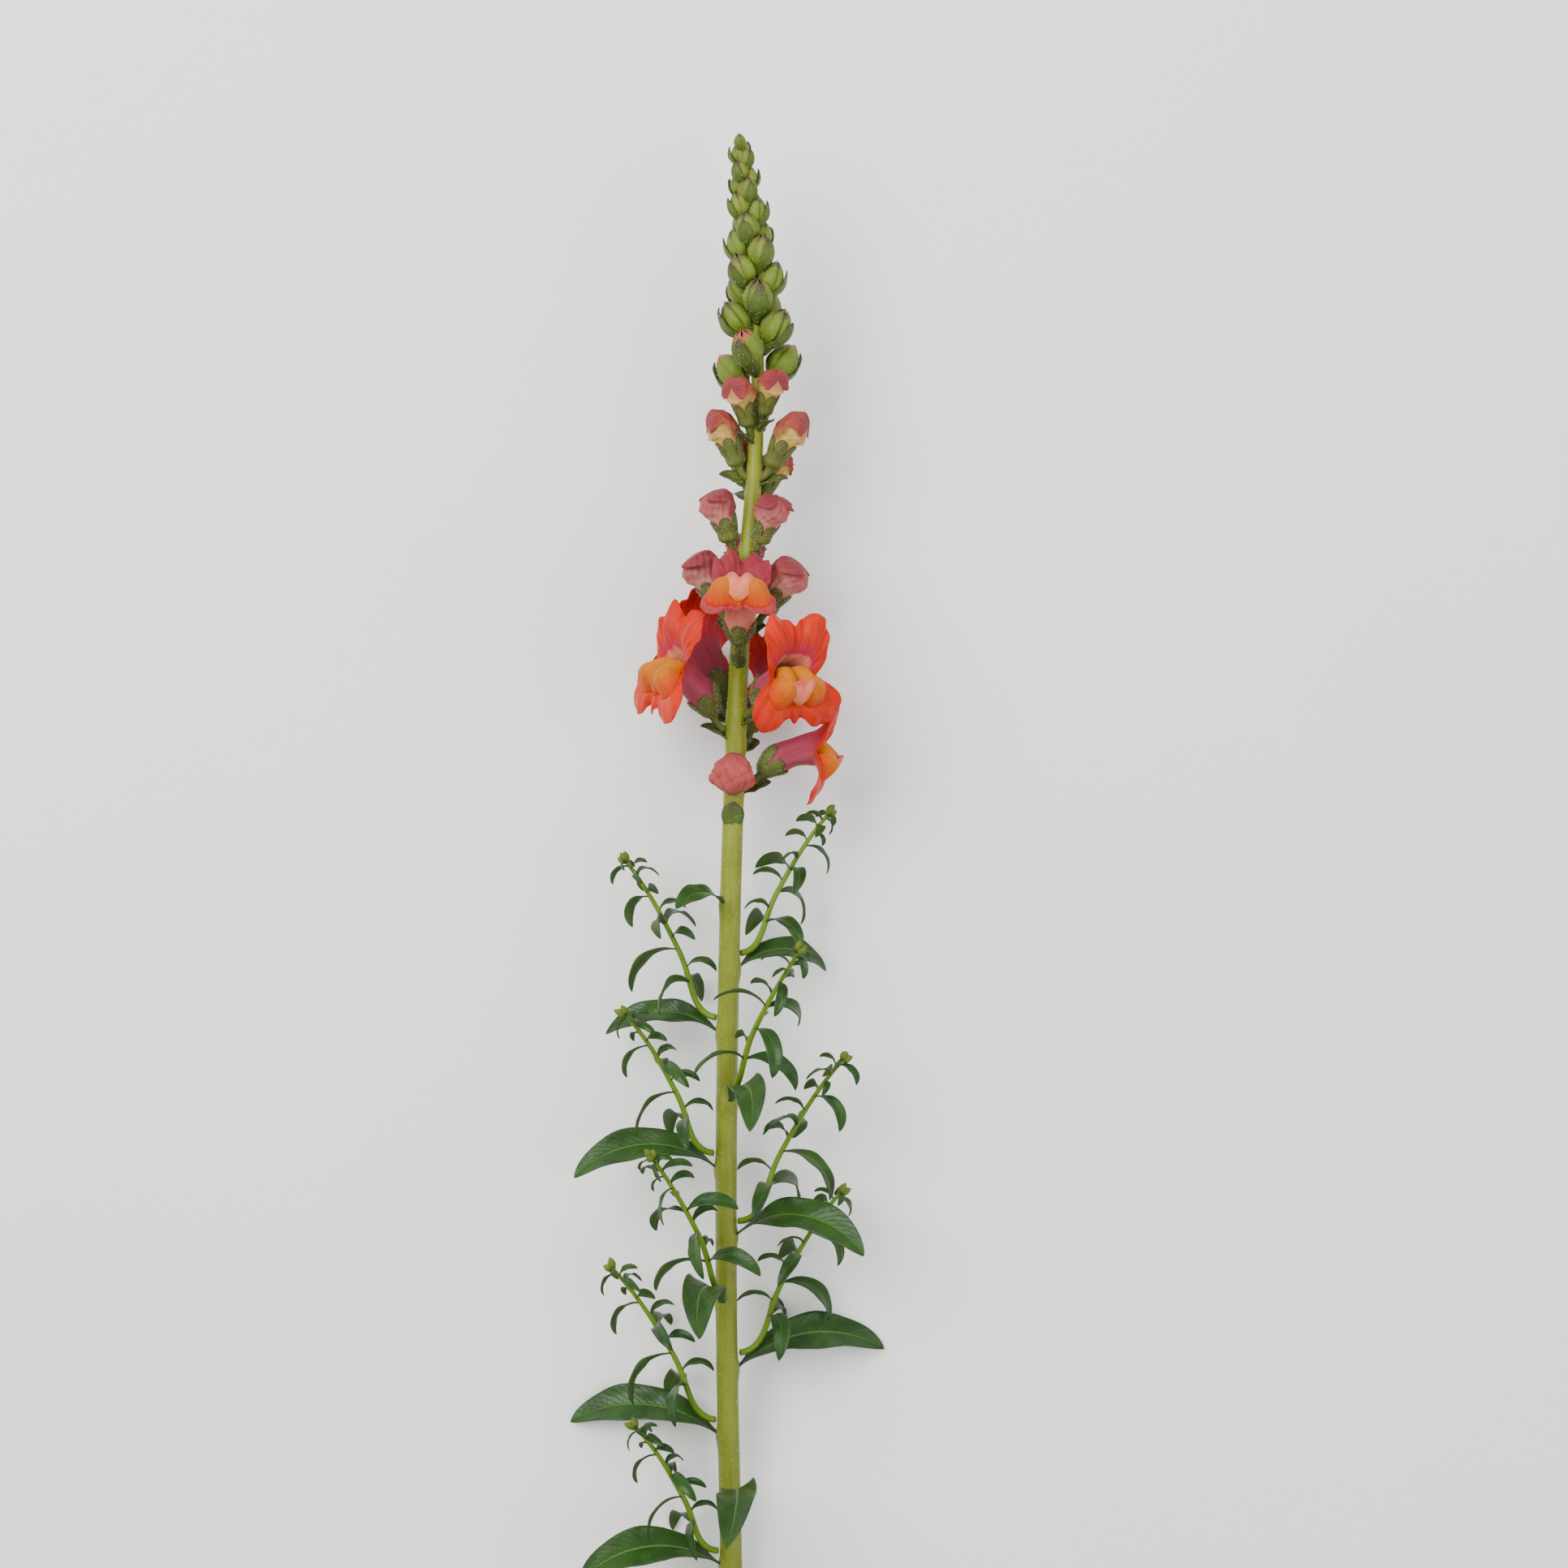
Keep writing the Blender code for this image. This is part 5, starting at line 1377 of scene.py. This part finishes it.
class SNAPDRAGON_OT_side_shoots(bpy.types.Operator):
    """Models the side shoots with their curled leaves and the small buds at their tips"""

    bl_idname = "snapdragon.side_shoots"
    bl_label = "Side shoots"

    def execute(self, context):
        for number, (leaf, length, turn, swing) in enumerate(SIDE_SHOOTS, 1):
            draws = random.Random(100 + number)
            place, azimuth = LEAVES[leaf - 1][:2]
            place += SHOOT_STEP
            start = float(radius_at(place)) + CLEARANCE
            distances = (0.0, 0.12 * length, 0.5 * length, length)
            turns = (0, 0.2 * turn, turn, turn)
            line = GrowthLine(place, azimuth, distances, SHOOT_RISES, turns, start)
            pieces = [self.twig(line, length)]
            grown = length / LONGEST_SHOOT
            leaves = [(share, facing, size) for share, size, sides in SHOOT_LEAVES for facing in sides]
            for share, facing, size in (*leaves, *SMALL_LEAVES):
                pieces.append(self.leaf(line, share * length, facing + swing, size * grown, draws))
            pieces += self.tip_buds(line, length, draws)
            dressed(joined(f"side_shoot_{number}_leaves", pieces), "shoot_green", f"side_shoot_{number}")
        return {"FINISHED"}

    def twig(self, line, length):
        def point_at(share, angle, shrink):
            radius = (SHOOT_RADIUS - SHOOT_TAPER * share) * shrink
            return line.skin(share * length, radius, radius, angle)

        return tube_piece("twig", "twig", point_at)

    def leaf(self, line, distance, facing, length, draws):
        point, side, up, ahead = (a[0] for a in line.at(np.array([distance])))
        angle = math.radians(facing)
        out = math.cos(angle) * side + math.sin(angle) * up
        width = (SHOOT_LEAF_WIDTH if length > 0.012 else SMALLEST_LEAF_WIDTH) * length
        rises = (38 + draws.uniform(-6, 6), -76 + draws.uniform(-14, 10))
        root, twist = point + 0.0003 * out, SHOOT_LEAF_TWIST + draws.uniform(-10, 10)
        form = (length, width, rises, 0.22, 0.0, twist, 0.10)
        shape = leaf_place(root, out, ahead, *form, draws.uniform(0, 6))
        return grid_piece("shoot_leaf", "leaf", shape)

    def tip_buds(self, line, length, draws):
        """A tuft of small pointed buds at the shoot's tip."""
        buds = []
        point, side, up, ahead = (a[0] for a in line.at(np.array([length])))
        for turn in (20, 140, 260):
            angle = math.radians(turn + draws.uniform(-20, 20))
            lean = unit(ahead + 0.45 * (math.cos(angle) * side + math.sin(angle) * up))
            across = unit(np.cross(lean, side))
            other = np.cross(lean, across)
            long = draws.uniform(0.0040, 0.0056)

            def place(u, v, lean=lean, across=across, other=other, long=long):
                around = 2 * math.pi * u
                radius = TIP_BUD_RADIUS * np.sin(math.pi * np.clip(v, 0.03, 0.985)) ** 0.7
                radius = radius * (1 + 0.08 * np.cos(5 * around))
                ring = np.cos(around)[:, None] * across + np.sin(around)[:, None] * other
                return point - 0.0008 * ahead + (long * v)[:, None] * lean + radius[:, None] * ring

            buds.append(grid_piece("tip_bud", "tip_bud", place))
        return buds


class SNAPDRAGON_OT_hairs(bpy.types.Operator):
    """Sets fine hairs on the stem, the head and the sepals"""

    bl_idname = "snapdragon.hairs"
    bl_label = "Fine hairs"

    def execute(self, context):
        count = context.scene.snapdragon.hairs // len(HAIRS)
        for name, part, length, seed, slot in HAIRS:
            dressed(hair_piece(name, HAIRY[part], count, length, seed), slot)
        return {"FINISHED"}


class SNAPDRAGON_PT_panel(bpy.types.Panel):
    """Lists the steps that dress the stem"""

    bl_idname = "SNAPDRAGON_PT_panel"
    bl_label = "Snapdragon stem"
    bl_space_type = "VIEW_3D"
    bl_region_type = "UI"
    bl_category = "Snapdragon"

    def draw(self, context):
        settings = context.scene.snapdragon
        for name in SnapdragonColours.__annotations__:
            self.layout.prop(settings, name)
        for operator in OPERATORS:
            self.layout.operator(operator.bl_idname)


OPERATORS = (
    SNAPDRAGON_OT_stage,
    SNAPDRAGON_OT_main_stem,
    SNAPDRAGON_OT_bud_head,
    SNAPDRAGON_OT_open_flowers,
    SNAPDRAGON_OT_opening_flowers,
    SNAPDRAGON_OT_coloured_buds,
    SNAPDRAGON_OT_leaves,
    SNAPDRAGON_OT_side_shoots,
    SNAPDRAGON_OT_hairs,
)


def register():
    for kind in (SnapdragonColours, *OPERATORS, SNAPDRAGON_PT_panel):
        bpy.utils.register_class(kind)
    bpy.types.Scene.snapdragon = bpy.props.PointerProperty(type=SnapdragonColours)


def unregister():
    del bpy.types.Scene.snapdragon
    for kind in reversed((SnapdragonColours, *OPERATORS, SNAPDRAGON_PT_panel)):
        bpy.utils.unregister_class(kind)


def main():
    register()
    bpy.ops.snapdragon.stage()
    bpy.ops.snapdragon.main_stem()
    bpy.ops.snapdragon.bud_head()
    bpy.ops.snapdragon.open_flowers()
    bpy.ops.snapdragon.opening_flowers()
    bpy.ops.snapdragon.coloured_buds()
    bpy.ops.snapdragon.leaves()
    bpy.ops.snapdragon.side_shoots()
    bpy.ops.snapdragon.hairs()
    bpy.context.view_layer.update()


if __name__ == "__main__":
    main()
